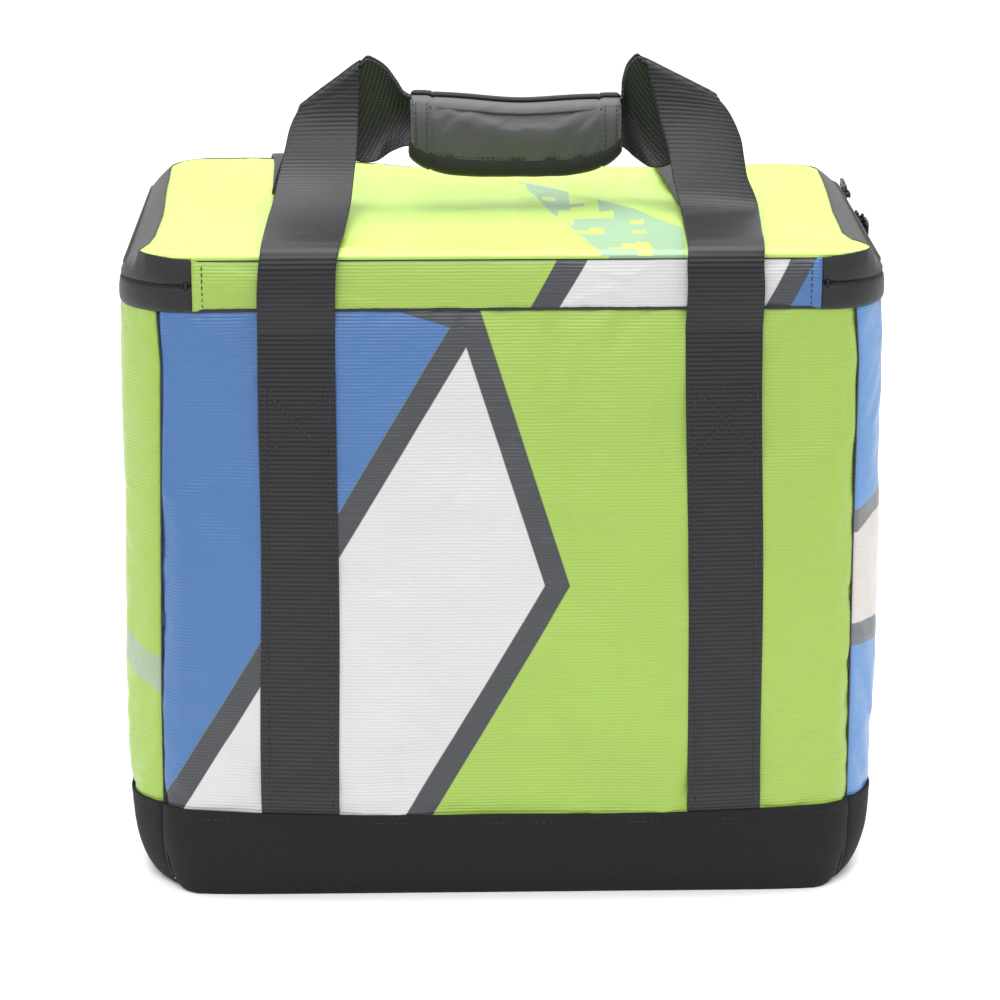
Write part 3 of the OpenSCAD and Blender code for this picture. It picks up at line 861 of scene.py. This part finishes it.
rows = np.linspace(0, 1, 14)[:, None]
lower_z = body_top - 1.3 + rows * (zip_z - slit - body_top + 1.3) + 0 * zip_s
lower_out = 0.7 + 0.7 * np.sin(math.pi * rows ** 0.8) - 0.6 * smooth(0.12, 0, rows)
lower_out = lower_out + ridges(zip_s, zip_z - slit - lower_z) - 0.5 * smooth(0.9, 1, rows)
lower = band("lower_zip_band", zip_s, lower_z, lower_out, 0.9, BAND)
place(lower, "bag_body", "band_fabric", "zip_band_lower")
rows = np.linspace(0, 1, 20)[:, None]
upper_z = zip_z + slit + rows * (lid_edge_z(zip_s) + 0.5 - zip_z - slit)
upper_out = 0.6 + 0.9 * np.sin(math.pi * rows ** 0.9) - lean(zip_s) * rows ** 1.25 - 0.5 * smooth(0.1, 0, rows)
upper_out = upper_out + ridges(zip_s, upper_z - zip_z - slit) + 0.3 * rows * ripple(zip_s, upper_z, 40, 21)
upper = band("upper_zip_band", zip_s, upper_z, upper_out, 0.9, BAND)
place(upper, "lid", "band_fabric", "zip_band_upper")
coarse_s = steps(hinge_x + 0.2, outline_l - hinge_x - 0.2, 4)
for name, body, z0, z1 in (("lower", "bag_body", zip_z - 9, zip_z - 0.6), ("upper", "lid", zip_z + 0.6, zip_z + 6)):
    tape = band(f"{name}_zip_tape", coarse_s, steps(z0, z1, 2), -0.75, 0.5, TAPE)
    place(tape, body, "zip_tape", f"zip_tape_{name}")
    shift = 0 if name == "lower" else tooth / 2
    s = np.arange(hinge_x + 1 + shift, outline_l - hinge_x - 1, tooth)
    z = zip_z + (-1.15 if name == "lower" else 1.15)
    at = on_body(s, np.full(s.shape, z), -0.5)
    _, _, nx, ny = outline(s)
    out = np.stack([nx, ny, 0 * nx], -1)
    up = np.broadcast_to([0.0, 0.0, 1.0], out.shape)
    form, tooth_faces = bead(2.7, tooth * 0.62, 1.2)
    coil = copies(f"{name}_zip_coil", form, tooth_faces, at, up, np.cross(out, up), out, COIL)
    place(coil, body, "zip_coil", f"zip_coil_{name}")
stop_s = np.array([hinge_x + 3, outline_l - hinge_x - 3])
form, stop_faces = bead(3.4, 2.2, 1.4)
stop_at = on_body(stop_s, np.full(2, zip_z), 1.3)
stop_axes = [np.tile(axis, (2, 1)) for axis in ([0.0, 0.0, 1.0], [1.0, 0.0, 0.0], [0.0, -1.0, 0.0])]
stops = copies("zip_stops", form, stop_faces, stop_at, *stop_axes, METAL)
place(stops, "bag_body", "zip_metal", "zip_end_stops")

# ---------------------------------------------------------------- hinge strip
def strip_relief(s, z):
    end = hinge_x - np.abs(s)
    hem = 0.45 * smooth(5.2, 4.2, end)
    roll = 1.9 * np.exp(-(seam_h + 0.6 - z) / 1.5) + 1.3 * np.exp(-(z - body_top + 0.6) / 1.5)
    swell = 0.7 * np.sin(math.pi * np.clip((z - body_top) / (seam_h - body_top), 0, 1))
    return 0.9 + hem + swell - roll * smooth(0, 5, end) + 0.3 * ripple(s, z * 0.5, 32, 41)


s, z = np.meshgrid(steps(-hinge_x, hinge_x, 2), steps(body_top - 0.6, seam_h + 0.6, 1.1))
strip_grid = on_body(s, z, strip_relief(s, z))
sewn = np.zeros(s.shape, bool)
sewn[[0, -1]] = sewn[:, [0, -1]] = True
strip_grid = settled(strip_grid, sewn, 0.004, (0, 0, -2), 0.5)
strip = shell("hinge_strip_vinyl", strip_grid, strip_grid - normals_of(strip_grid) * 1.1, VINYL["strip"],
              np.stack([s, z], -1))
span(strip, "bag_body", "lid", body_top, seam_h, "vinyl_hinge", "hinge_strip")
ends = []
for x in (-hinge_x + 4.8, hinge_x - 4.8):
    z = steps(body_top + 0.6, seam_h - 0.8, 2)
    ends.append(on_body(np.full(z.shape, x), z, strip_relief(x, z) + 0.15))
end_rows = stitches("strip_end_stitching", ends, (0, -1, 0), THREAD, 3.1, 0.7)
span(end_rows, "bag_body", "lid", body_top, seam_h, "thread")
x = steps(-hinge_x, hinge_x, 4)
# Thin dark cords along the lid's seam and under the band's lower edge: binding in the seams, and also painted shade
# for the shadow lines there.
lid_seam_cord_and_shade = tube("lid_seam_cord", np.stack([x, 0 * x - half_d + 0.3, 0 * x + seam_h + 0.5], -1), 0.8, BINDING)
place(lid_seam_cord_and_shade, "lid", "binding")
x = steps(-seam_x, seam_x, 4)
cord_path = on_body(x, 0 * x + body_top - 0.2, 0.1)
place(tube("body_seam_cord", cord_path, 0.8, BINDING), "bag_body", "binding")

# ---------------------------------------------------------------- webbing
rib = 2.3                                   # pitch of the webbing's cross ribs
across = np.array([-1, -0.97, -0.9, -0.75, -0.5, -0.25, 0, 0.25, 0.5, 0.75, 0.9, 0.97, 1])


def curve_through(points, pitch):
    """A smooth curve through control points, sampled at about that pitch; every row of points is one control."""
    points = np.asarray(points, float)
    gaps = np.maximum(np.sqrt(((points[1:, :6] - points[:-1, :6]) ** 2).sum(1)) / math.sqrt(2), 1e-3)
    knots = np.concatenate([[0], np.cumsum(gaps)])
    slope = np.gradient(points, knots, axis=0)
    at = steps(0, knots[-1], pitch)
    k = np.clip(np.searchsorted(knots, at, side="right") - 1, 0, len(knots) - 2)
    h = (knots[k + 1] - knots[k])[:, None]
    t = ((at - knots[k])[:, None]) / h
    p, q = points[k], points[k + 1]
    return ((1 + 2 * t) * (1 - t) ** 2 * p + t * (1 - t) ** 2 * h * slope[k]
            + t * t * (3 - 2 * t) * q + t * t * (t - 1) * h * slope[k + 1])


def webbing(name, controls, flip=False, start=0.0):
    """A webbing strap through controls of outer edge, inner edge and cup depth, all in millimetres."""
    rows = curve_through([[*c[0], *c[1], c[2]] for c in controls], 0.55)
    outer, inner, cup = rows[:, None, :3], rows[:, None, 3:6], rows[:, None, 6:7]
    if flip:
        outer, inner = inner, outer
    t = (across[None, :, None] + 1) / 2
    grid = outer + (inner - outer) * t
    grid[..., 1] += cup[..., 0] * 4 * t[..., 0] * (1 - t[..., 0])
    out = normals_of(grid)
    run = np.linalg.norm(np.diff(grid, axis=0), axis=-1)
    run = start + np.concatenate([np.zeros((1, grid.shape[1])), np.cumsum(run, axis=0)])
    raised = 0.05 * np.cos(2 * math.pi * run / rib) * (np.abs(across) < 0.95)
    half = strap_t / 2 * (1 - 0.3 * np.abs(across) ** 10) - 0.15 + raised
    weave = np.stack([np.broadcast_to(across * strap_w / 2, run.shape), run], -1)
    return shell(name, grid + out * half[..., None], grid - out * half[..., None], WEBBING, weave)


cut_z = 298                                 # where the sewn piece of each strap meets the free one
over_z = lid_top + 2.2                      # middle of the webbing on the lid
# x of each sewn strap's outer and inner edge, at the boot and at the cut
sewn_edges = {("front", "left"): ((-123.7, -120.6), (-84.4, -83.0)),
              ("front", "right"): ((128.1, 124.2), (91.4, 86.9)),
              ("rear", "left"): ((-126.0, -125.0), (-88.0, -87.0)),
              ("rear", "right"): ((126.0, 125.0), (88.0, 87.0))}


def face_point(x, z, out, front):
    """A point at that x on the front or back face."""
    x = np.asarray(x, float)
    return on_body(x if front else back_mid - x, z + 0 * x, out)


def sewn_part(face, side):
    """The sewn webbing from the boot to the cut, held to the body up to its stitching. Returns its rows."""
    front = face == "front"
    (outer_low, outer_high), (inner_low, inner_high) = sewn_edges[face, side]
    controls = []
    for z in (boot_h - 1, boot_h + 3, boot_h + 9, 70, 110, 150, 190, 230, 255, 268, 276, 286, cut_z):
        share = (z - boot_h) / (cut_z - boot_h)
        out = -0.5 + 1.8 * float(smooth(boot_h, boot_h + 9, z))
        xo = outer_low + (outer_high - outer_low) * share
        xi = inner_low + (inner_high - inner_low) * share
        xo += 0.5 * math.sin(z / 31 + outer_low)
        xi += 0.5 * math.sin(z / 37 + inner_low)
        controls.append((face_point(xo, z, out, front).tolist(), face_point(xi, z, out, front).tolist(), 0.0))
    made = webbing(f"{face}_webbing_{side}", controls, flip=(side == "right") == front)
    span(made, "bag_body", f"{face}_risers", stitch_top - 1.5, stitch_top + 5, "webbing", f"{face}_strap_{side}")
    return controls


# the front straps' rows from the cut to the grip: outer edge, inner edge and cup depth
front_over = {
    "left": [((-120.6, -117.1, 320), (-82.8, -117.1, 320), 0), ((-119.6, -117.3, 331), (-82.2, -117.3, 331), 0),
             ((-118.8, -115.1, 336.6), (-81.3, -115.2, 336.7), 0), ((-118.6, -108, 338.5), (-80.6, -108, 338.5), 0),
             ((-118.3, -88, 339.2), (-79.2, -90, 339.2), 0), ((-117.1, -62, 342.2), (-78.0, -68, 341.5), 0),
             ((-115.3, -47, 346.6), (-76.7, -51, 345.5), 0), ((-113.4, -31, 354.4), (-75.7, -36, 351.5), 0),
             ((-111.8, -22.6, 361), (-75.0, -26.5, 357.3), 0), ((-110.2, -17.2, 367.2), (-74.0, -19.4, 364.3), 0),
             ((-107.9, -12.2, 376.4), (-73.1, -12.6, 376.2), -0.3),
             ((-105.6, -9.6, 381.6), (-72.9, -9.4, 386.5), -0.7),
             ((-103.8, -8.3, 384.3), (-72.6, -7.6, 397), -0.9), ((-102.6, -6.4, 385.5), (-72.1, -6.2, 408.6), -0.5),
             ((-101.6, -4.4, 382.0), (-71.2, -4.4, 407.6), 0), ((-97, -3.2, 374.8), (-69, -2.9, 410.2), 1.5),
             ((-86, -2, 365.6), (-63.8, -1.4, 408.6), 3), ((-75, -1, 357.8), (-58.2, -0.6, 404.2), 4.5),
             ((-65, -0.5, 357.4), (-53.6, -0.3, 397.6), 6), ((-56, -0.6, 363), (-50.0, -0.6, 392.4), 6),
             ((-48, -1, 365.5), (-45.5, -1, 390.6), 5), ((-40, -1.3, 361.5), (-39, -1.3, 389.6), 3),
             ((-32, -1.5, 358.5), (-32, -1.5, 389), 2)],
    "right": [((124.2, -117.1, 320), (86.9, -117.1, 320), 0), ((123.5, -117.3, 331), (86.5, -117.3, 331), 0),
              ((123.7, -115.1, 336.6), (86.9, -115.2, 336.7), 0), ((124.2, -108, 338.5), (87.1, -108, 338.5), 0),
              ((125.5, -84, 338.7), (87.8, -86, 338.7), 0), ((127.3, -58, 338.7), (88.4, -64, 338.7), 0),
              ((128.5, -37, 339.4), (89.0, -47, 339.2), 0), ((128.1, -32, 342.2), (88.7, -38.5, 341.6), 0),
              ((126.3, -28.4, 347.2), (87.8, -31, 346), 0), ((123.9, -25.1, 352.6), (86.2, -26.6, 351.4), -0.4),
              ((122.4, -20.2, 361.6), (84.9, -21.4, 359.6), -0.8), ((120.9, -15.6, 371), (83.5, -17, 368), -1),
              ((117, -11.6, 380.4), (80.5, -12.6, 378.4), -1), ((113.6, -9.6, 385.8), (77.8, -9.4, 389.5), -1),
              ((111.0, -8.3, 388.5), (74.8, -7.6, 400.5), -1), ((109.1, -6.4, 389.9), (72.4, -6.2, 409.4), -0.5),
              ((108, -4.4, 386.6), (71.4, -4.4, 408.4), 0), ((103, -3.2, 378.8), (69.6, -2.9, 410.8), 1.5),
              ((94, -2, 365.8), (65.8, -1.4, 408.2), 3), ((85.5, -1, 355), (63.2, -0.6, 403.6), 4.5),
              ((77, -0.5, 353.6), (61.9, -0.3, 397.6), 6), ((69, -0.6, 358.5), (61.6, -0.6, 392.4), 6),
              ((61.5, -1, 364.5), (60.6, -1, 389.6), 5), ((54, -1.3, 360.5), (53, -1.3, 388.6), 3),
              ((46, -1.5, 358), (46, -1.5, 388), 2)]}


def rear_over(side):
    """The rear straps' rows: they lie flat on the lid further than the front ones, and stand up behind them."""
    sign, foot = (-1, 5.0) if side == "left" else (1, -24.0)
    rows = [((sign * outer, y, z), (sign * inner, y, z), 0) for outer, inner, y, z in
            ((125, 87, 117.1, 320), (124.5, 86.8, 117.3, 331), (123.5, 86, 115.2, 336.6), (122.6, 85.5, 108, 338.5))]
    for y in (84, 58, 34, foot + 6):
        x = 118.6 + 1.9 * (y - 21) / 63 if side == "left" else 125 + 0.06 * (34 - y)
        rows.append(((sign * x, y, over_z), (sign * (x - 38), y, over_z), 0))
    fold = next(n for n, row in enumerate(front_over[side]) if row[0][1] == -6.4)
    last = front_over[side][fold]
    for z, share in ((340.6, 0.0), (346, 0.1), (354, 0.27), (364, 0.5), (374, 0.72), (382, 0.88)):
        outer = [sign * x + share * (last[0][0] - sign * x), foot + (6.6 - foot) * share, z]
        inner = [sign * (x - 38) + share * (last[1][0] - sign * (x - 38)), foot + (6.6 - foot) * share - 0.4,
                 z + (last[1][2] - last[0][2]) * share]
        rows.append((outer, inner, -0.6))
    rows.append(((last[0][0], 7.0, last[0][2] - 0.6), (last[1][0], 7.0, last[1][2] - 0.6), 0))
    for outer, inner, cup in front_over[side][fold + 1:]:
        in_grip = smooth(75, 48, abs(outer[0] - 7))
        rows.append(((outer[0], 7.6 - 5.0 * in_grip, outer[2]), (inner[0], 7.4 - 5.0 * in_grip, inner[2]), 0.5 * cup))
    return rows


def over_part(face, side, low_controls):
    """Free webbing from the cut, over the lid and up through the fold into the grip."""
    front = face == "front"
    controls = [low_controls[-1], *(front_over[side] if front else rear_over(side))]
    for n, (outer, inner, cup) in enumerate(controls):
        if abs(outer[1]) < 100 and outer[2] < over_z + 1:
            lift = [max(0.0, float(lid_height(p[0], p[1])) + 1.9 - p[2]) for p in (outer, inner)]
            controls[n] = ((*outer[:2], outer[2] + lift[0]), (*inner[:2], inner[2] + lift[1]), cup)
    run = cut_z - boot_h
    made = webbing(f"{face}_handle_{side}", controls, flip=(side == "right") == front, start=run)
    nodes = [f"{face}_riser_{side}", f"{face}_loop_{side}"]
    span(made, f"{face}_risers", f"{face}_loop", seam_h - 2, seam_h + 5, "webbing", *nodes)


for face in ("front", "rear"):
    for side in ("left", "right"):
        over_part(face, side, sewn_part(face, side))
    y = -1.6 if face == "front" else 2.4
    low_edge, high_edge, cup = 358.5, 385.0, 2.0
    in_grip = [((x, y, low_edge), (x, y, high_edge), cup) for x in steps(-31.5, 45.5, 12)]
    grip_run = webbing(f"{face}_grip_webbing", in_grip, flip=True)
    place(grip_run, f"{face}_loop", "webbing", f"{face}_loop_grip_run")


def box_and_cross(face, side):
    """Paths of the box-and-cross stitching and the long rows along a sewn strap's edges."""
    front = face == "front"
    (outer_low, outer_high), (inner_low, inner_high) = sewn_edges[face, side]
    box_left, box_right = sorted([(outer_low + outer_high * 3) / 4, (inner_low + inner_high * 3) / 4])
    x0, x1, z0, z1 = box_left + 3.2, box_right - 3.2, stitch_top - 36, stitch_top - 2.2
    corners = [((x0, z0), (x1, z0)), ((x1, z0), (x1, z1)), ((x1, z1), (x0, z1)), ((x0, z1), (x0, z0)),
               ((x0, z0), (x1, z1)), ((x0, z1), (x1, z0))]
    left, right = sorted([outer_low, inner_low])
    corners += [((left + 3.6, boot_h + 4), (x0, z0)), ((right - 3.6, boot_h + 4), (x1, z0))]
    paths = []
    for (xa, za), (xb, zb) in corners:
        t = np.linspace(0, 1, 40)
        z = za + (zb - za) * t
        out = -0.5 + 1.8 * smooth(boot_h, boot_h + 9, z) + strap_t / 2 + 0.05
        paths.append(face_point(xa + (xb - xa) * t, z, out, front))
    return paths


for face in ("front", "rear"):
    paths = box_and_cross(face, "left") + box_and_cross(face, "right")
    rows = stitches(f"{face}_cross_stitching", paths, (0, -1 if face == "front" else 1, 0), THREAD, 3.0, 0.8)
    place(rows, "bag_body", "thread", *(["cross_stitching"] if face == "front" else []))

# ---------------------------------------------------------------- grip
grip_x = (grip_left + grip_right) / 2
grip_half = (grip_right - grip_left) / 2


def grip_section(x, phi, inset=0.0):
    """A point on the grip's skin. phi is 0 at the top, 90 at the front, 180 at the bottom, 270 at the rear."""
    t = (x - grip_x) / grip_half
    top = grip_high - 5.8 - 2.6 * np.exp(-((x - 8) / 26) ** 2) - 0.9 * t
    low = grip_low + 13 - 13.4 * np.clip(1 - np.abs(t + 0.02) ** 4.5, 0, 1) ** 0.8
    deep = grip_r * (1 - 0.13 * np.abs(t) ** 3)
    c, s = np.cos(phi), np.sin(phi)
    power = 2 / 2.7
    half = (top - low) / 2 - inset
    z = (top + low) / 2 + half * np.sign(c) * np.abs(c) ** power
    y = -(deep - inset) * np.sign(s) * np.abs(s) ** power
    return np.stack(np.broadcast_arrays(x + 0 * y, y, z), -1)


def grip_relief(x, phi):
    """Bound ends and slanting creases of the grip's cloth."""
    end = np.minimum(x - grip_left, grip_right - x)
    bound = 0.7 * smooth(10.4, 9.4, end) - 0.5 * np.exp(-((end - 10.6) / 0.8) ** 2)
    slant = x + 16 * phi
    creases = 0.55 * ripple(slant, phi * 6, 17, 81, 0, 1.5) * smooth(9, 20, end) * np.clip(np.sin(phi), 0, 1)
    return bound + creases


flap_end = math.radians(124)
xs = steps(grip_left, grip_right, 1.3)


def flap_pinned(x, phi):
    """Where the flap's cloth is held: along its edges and bound ends."""
    return (phi < 0.15) | (x < grip_left + 11) | (x > grip_right - 11) | (phi > flap_end - 0.06)


def grip_sheet(name, phis, thick, inset, look, relief_scale=1.0, pinned=None, cap=0.0):
    x, phi = np.meshgrid(xs, phis)
    inset = np.broadcast_to(np.asarray(inset, float).reshape(-1, 1), x.shape)
    outer = grip_section(x, phi, inset - relief_scale * grip_relief(x, phi))
    if pinned is not None:
        outer = settled(outer, pinned(x, phi), 0.012, (0, -2, -2), cap)
    out = normals_of(outer)
    edge = np.minimum(np.arange(len(phis)), np.arange(len(phis))[::-1])[:, None]
    side = np.minimum(np.arange(len(xs)), np.arange(len(xs))[::-1])[None]
    full = np.sqrt(np.clip(1 - (1 - np.minimum(edge, side) / 2.0).clip(0, 1) ** 2, 0.02, 1))[..., None]
    weave = np.stack([x, phi * grip_r], -1)
    middle = outer - out * thick / 2
    return shell(name, middle + out * thick / 2 * full, middle - out * thick / 2 * full, look, weave)


flap = grip_sheet("grip_flap_cloth", np.linspace(flap_end, 0.01, 44), 3.0, 0.0, GRIP, 1.0, flap_pinned, 1.6)
place(flap, "grip_wrap_flap", "grip_fabric", "grip_flap")
around = np.linspace(math.radians(-2), math.radians(-254), 96)
inside = 4.1 * smooth(math.radians(-208), math.radians(-240), around)
# The pad takes the darker copy of the grip's cloth: painted shade on the grip's underside.
pad_piece = grip_sheet("grip_pad_cloth", around[::-1], 3.2, inside[::-1], GRIP_PAD_PAINTED_SHADE, 0.8)
pad_piece.data.flip_normals()
place(pad_piece, "rear_loop", "grip_fabric", "grip_pad")


x, phi = np.meshgrid(steps(grip_left + 0.6, grip_right - 0.6, 1.3), np.linspace(0.75, -0.75, 26))
top_cloth = grip_section(x, phi, 0.05 - 0.5 * np.cos(phi * math.pi / 1.5) ** 0.7 - grip_relief(x, phi))
top_cloth = shell("grip_top_cloth", top_cloth, top_cloth - normals_of(top_cloth) * 0.6, GRIP,
                  np.stack([x, phi * grip_r], -1))
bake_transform(top_cloth)


def strip_on_grip(name, low_angle, high_angle, inset, thick, look):
    """A strip along the grip, between two angles round it in degrees."""
    phis = np.linspace(math.radians(low_angle), math.radians(high_angle), 9)
    x, phi = np.meshgrid(steps(grip_left + 8, grip_right - 8, 1.5), phis)
    outer = grip_section(x, phi, inset)
    out = normals_of(outer)
    rough = 0.15 * ripple(x, phi * grip_r, 2.4, 91)[..., None]
    return shell(name, outer + out * rough, outer - out * thick, look, np.stack([x, phi * grip_r], -1))


hooks = strip_on_grip("grip_hooks", 120, 94, 3.0, 0.5, HOOKS)
place(hooks, "grip_wrap_flap", "hook_and_loop", "grip_hook_strip")
loops = strip_on_grip("grip_loops", 118, 108, 3.75, 0.35, HOOKS)
place(loops, "rear_loop", "hook_and_loop", "grip_loop_strip")
stitch_phi = np.linspace(0.25, flap_end - 0.1, 40)
rows = []
for x in (grip_left + 2.6, grip_left + 8.2, grip_right - 8.2, grip_right - 2.6):
    rows.append(grip_section(x, stitch_phi, -0.75))
rows.append(grip_section(steps(grip_left + 12, grip_right - 12, 1), flap_end - 0.16, -0.15))


def off_grip(points):
    """Rough outward directions on the grip, whose middle is about 375 mm high."""
    return np.stack([0 * points[:, 0], points[:, 1] - 1e-3, (points[:, 2] - 375) * 0.45], -1)


grip_rows = stitches("grip_flap_stitching", rows, off_grip, THREAD, 2.6, 0.7)
place(grip_rows, "grip_wrap_flap", "thread")


# ---------------------------------------------------------------- sliders and pulls
def finished(name, form, look):
    """The object of a finished bmesh."""
    mesh = bpy.data.meshes.new(name)
    form.to_mesh(mesh)
    form.free()
    made = smooth_object(name, mesh, look)
    mark_rest(made)
    return made


def blocks(name, parts, look):
    """Rounded blocks, each from its lowest and highest corner and an edge radius, in one piece."""
    joined = bmesh.new()
    for lo, hi, radius in parts:
        one = bmesh.new()
        bmesh.ops.create_cube(one, size=1.0)
        lo, hi = np.array(lo, float), np.array(hi, float)
        for v in one.verts:
            v.co = Vector(((np.array(v.co) + 0.5) * (hi - lo) + lo) * MM)
        bmesh.ops.bevel(one, geom=one.edges[:], offset=radius * MM, segments=3, profile=0.5, affect="EDGES")
        mesh = bpy.data.meshes.new("part")
        one.to_mesh(mesh)
        one.free()
        joined.from_mesh(mesh)
        bpy.data.meshes.remove(mesh)
    return finished(name, joined, look)


def tab_plate(name, outline_points, hole_points, x0, x1, look):
    """A plate in the plane of the side, with a hole, between two x."""
    form = bmesh.new()
    n = len(outline_points)
    layers = []
    for x in (x0, x1):
        layers.append([[form.verts.new((x * MM, y * MM, z * MM)) for y, z in loop]
                       for loop in (outline_points, hole_points)])
    for (outer, hole), flip in zip(layers, (False, True)):
        for k in range(n):
            quad = [outer[k], outer[(k + 1) % n], hole[(k + 1) % n], hole[k]]
            form.faces.new(quad[::-1] if flip else quad)
    for loop in (0, 1):
        a, b = layers[0][loop], layers[1][loop]
        for k in range(n):
            form.faces.new([a[k], b[k], b[(k + 1) % n], a[(k + 1) % n]])
    bmesh.ops.recalc_face_normals(form, faces=form.faces)
    sharp = [e for e in form.edges if len(e.link_faces) == 2 and e.calc_face_angle() > 0.8]
    bmesh.ops.bevel(form, geom=sharp, offset=0.28 * MM, segments=2, profile=0.5, affect="EDGES")
    return finished(name, form, look)


def rounded_loop(cy, cz, half_y, half_z, count=40):
    """A rounded rectangle of count points about a centre."""
    loop = []
    for k in range(count):
        a = 2 * math.pi * k / count
        sy, sz = math.cos(a), math.sin(a)
        grow = (abs(sy / half_y) ** 5 + abs(sz / half_z) ** 5) ** -0.2
        loop.append((cy + sy * grow, cz + sz * grow))
    return loop


for which in ("front", "rear"):
    low, high = (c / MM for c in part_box(f"slider_{which}"))
    y0, y1, z0, z1 = low.y, high.y, low.z, high.z
    mid_y, mid_z = (y0 + y1) / 2, (z0 + z1) / 2
    x0, x1 = low.x, high.x
    parts = [((x0, y0 + 0.4, z0 + 0.8), (x0 + 1.6, y1 - 0.4, z1 - 0.8), 0.7),
             ((x0, y0 + 2, z0), (x0 + 1.4, y1 - 2, z1), 0.65),
             ((x0 + 0.4, y0, mid_z - 2.2), (x0 + 1.8, y1, mid_z + 2.2), 0.65),
             ((x0 + 1.2, y0 + 2.0, mid_z - 1.3), (x1 - 0.4, y0 + 4.6, mid_z + 1.3), 0.6),
             ((x0 + 1.2, y1 - 4.6, mid_z - 1.3), (x1 - 0.4, y1 - 2.0, mid_z + 1.3), 0.6),
             ((x1 - 1.1, y0 + 2.2, mid_z - 1.5), (x1, y1 - 2.2, mid_z + 1.5), 0.5)]
    place(blocks(f"{which}_slider_body", parts, METAL), f"zip_slider_{which}", "zip_metal", f"slider_{which}")
    low, high = (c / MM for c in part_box(f"pull_{which}"))
    ahead = -1 if which == "front" else 1
    far = low.y if which == "front" else high.y
    length = abs(far - mid_y)
    plate_x = (low.x + high.x) / 2
    body = f"zip_pull_{which}"
    tab = tab_plate(f"{which}_pull_tab", rounded_loop(mid_y + ahead * (length - 7.5), mid_z, 7.5, 4.3),
                    rounded_loop(mid_y + ahead * (length - 5.5), mid_z, 3.2, 1.5),
                    plate_x - 0.75, plate_x + 0.75, METAL)
    place(tab, body, "zip_metal", f"pull_{which}")
    turn = np.linspace(0, 2 * math.pi, 48, endpoint=False)
    ring_y = mid_y + ahead * (4.6 - 4.9 * np.cos(turn))
    ring_z = mid_z + 3.7 * np.sign(np.sin(turn)) * np.abs(np.sin(turn)) ** 0.6
    ring = np.stack([0 * turn + plate_x, ring_y, ring_z], -1)
    wire = tube(f"{which}_pull_ring", ring, 0.62, METAL, 10, closed=True)
    place(wire, body, "zip_metal")

# ---------------------------------------------------------------- floor, light and camera
def floor_look():
    """Pale floor, white behind the bag and a little greyer far in front of it, out of view: painted shade for the
    darker studio in front, which the bag's front reflects.
    """
    look = Look("studio_floor", 0.55)
    start, fade = 800, 450                  # how far in front it starts, and over how much
    near = look.math("MULTIPLY_ADD", look.axis(look.rest, 1), 1 / fade, start / fade, clamp=True)
    shade = look.mix(near, colour("ACACAE"), colour("FCFCFC"))
    return look.finish(look.tint(shade, 0.003, 0.001))


reach = 9000                                # half the floor's side
corners = [[-reach, -reach, 0], [reach, -reach, 0], [reach, reach, 0], [-reach, reach, 0]]
floor = piece("studio_floor", corners, [[0, 1, 2, 3]], floor_look())


def area_light(name, at, target, power, size):
    data = bpy.data.lights.new(name, "AREA")
    data.energy = power
    data.shape = "RECTANGLE"
    data.size, data.size_y = size
    light = add_object(name, data)
    light.location = at
    light.rotation_euler = (Vector(target) - Vector(at)).to_track_quat("-Z", "Y").to_euler()
    return light


area_light("overhead", (0.05, 0.25, 1.6), (0, 0.05, 0.3), 28, (1.5, 1.1))
area_light("front_top", (-0.15, -1.45, 1.7), (0, 0, 0.3), 30, (1.1, 1.2))
area_light("right_strip", (1.5, -0.2, 0.8), (0, 0, 0.2), 3, (0.5, 1.4))
area_light("left_strip", (-1.5, 0.0, 0.8), (0, 0, 0.2), 4, (0.5, 1.4))

world = bpy.data.worlds.new("studio_world")
world.use_nodes = True
sky = world.node_tree.nodes["Background"].inputs
sky["Color"].default_value = (1, 1, 1, 1)
sky["Strength"].default_value = 1.01
bpy.context.scene.world = world
bpy.context.scene.view_settings.view_transform = "Standard"

camera_data = bpy.data.cameras.new("camera")
camera_data.lens = 115.5
camera_data.sensor_width = 36
camera_data.clip_end = 50
camera = add_object("camera", camera_data)
camera.location = (-0.038, -1.618, 0.694)
down, turned = 17.79, -1.31                 # the view's angles, in degrees
camera.rotation_euler = (math.radians(90 - down), 0, math.radians(turned))
bpy.context.scene.camera = camera
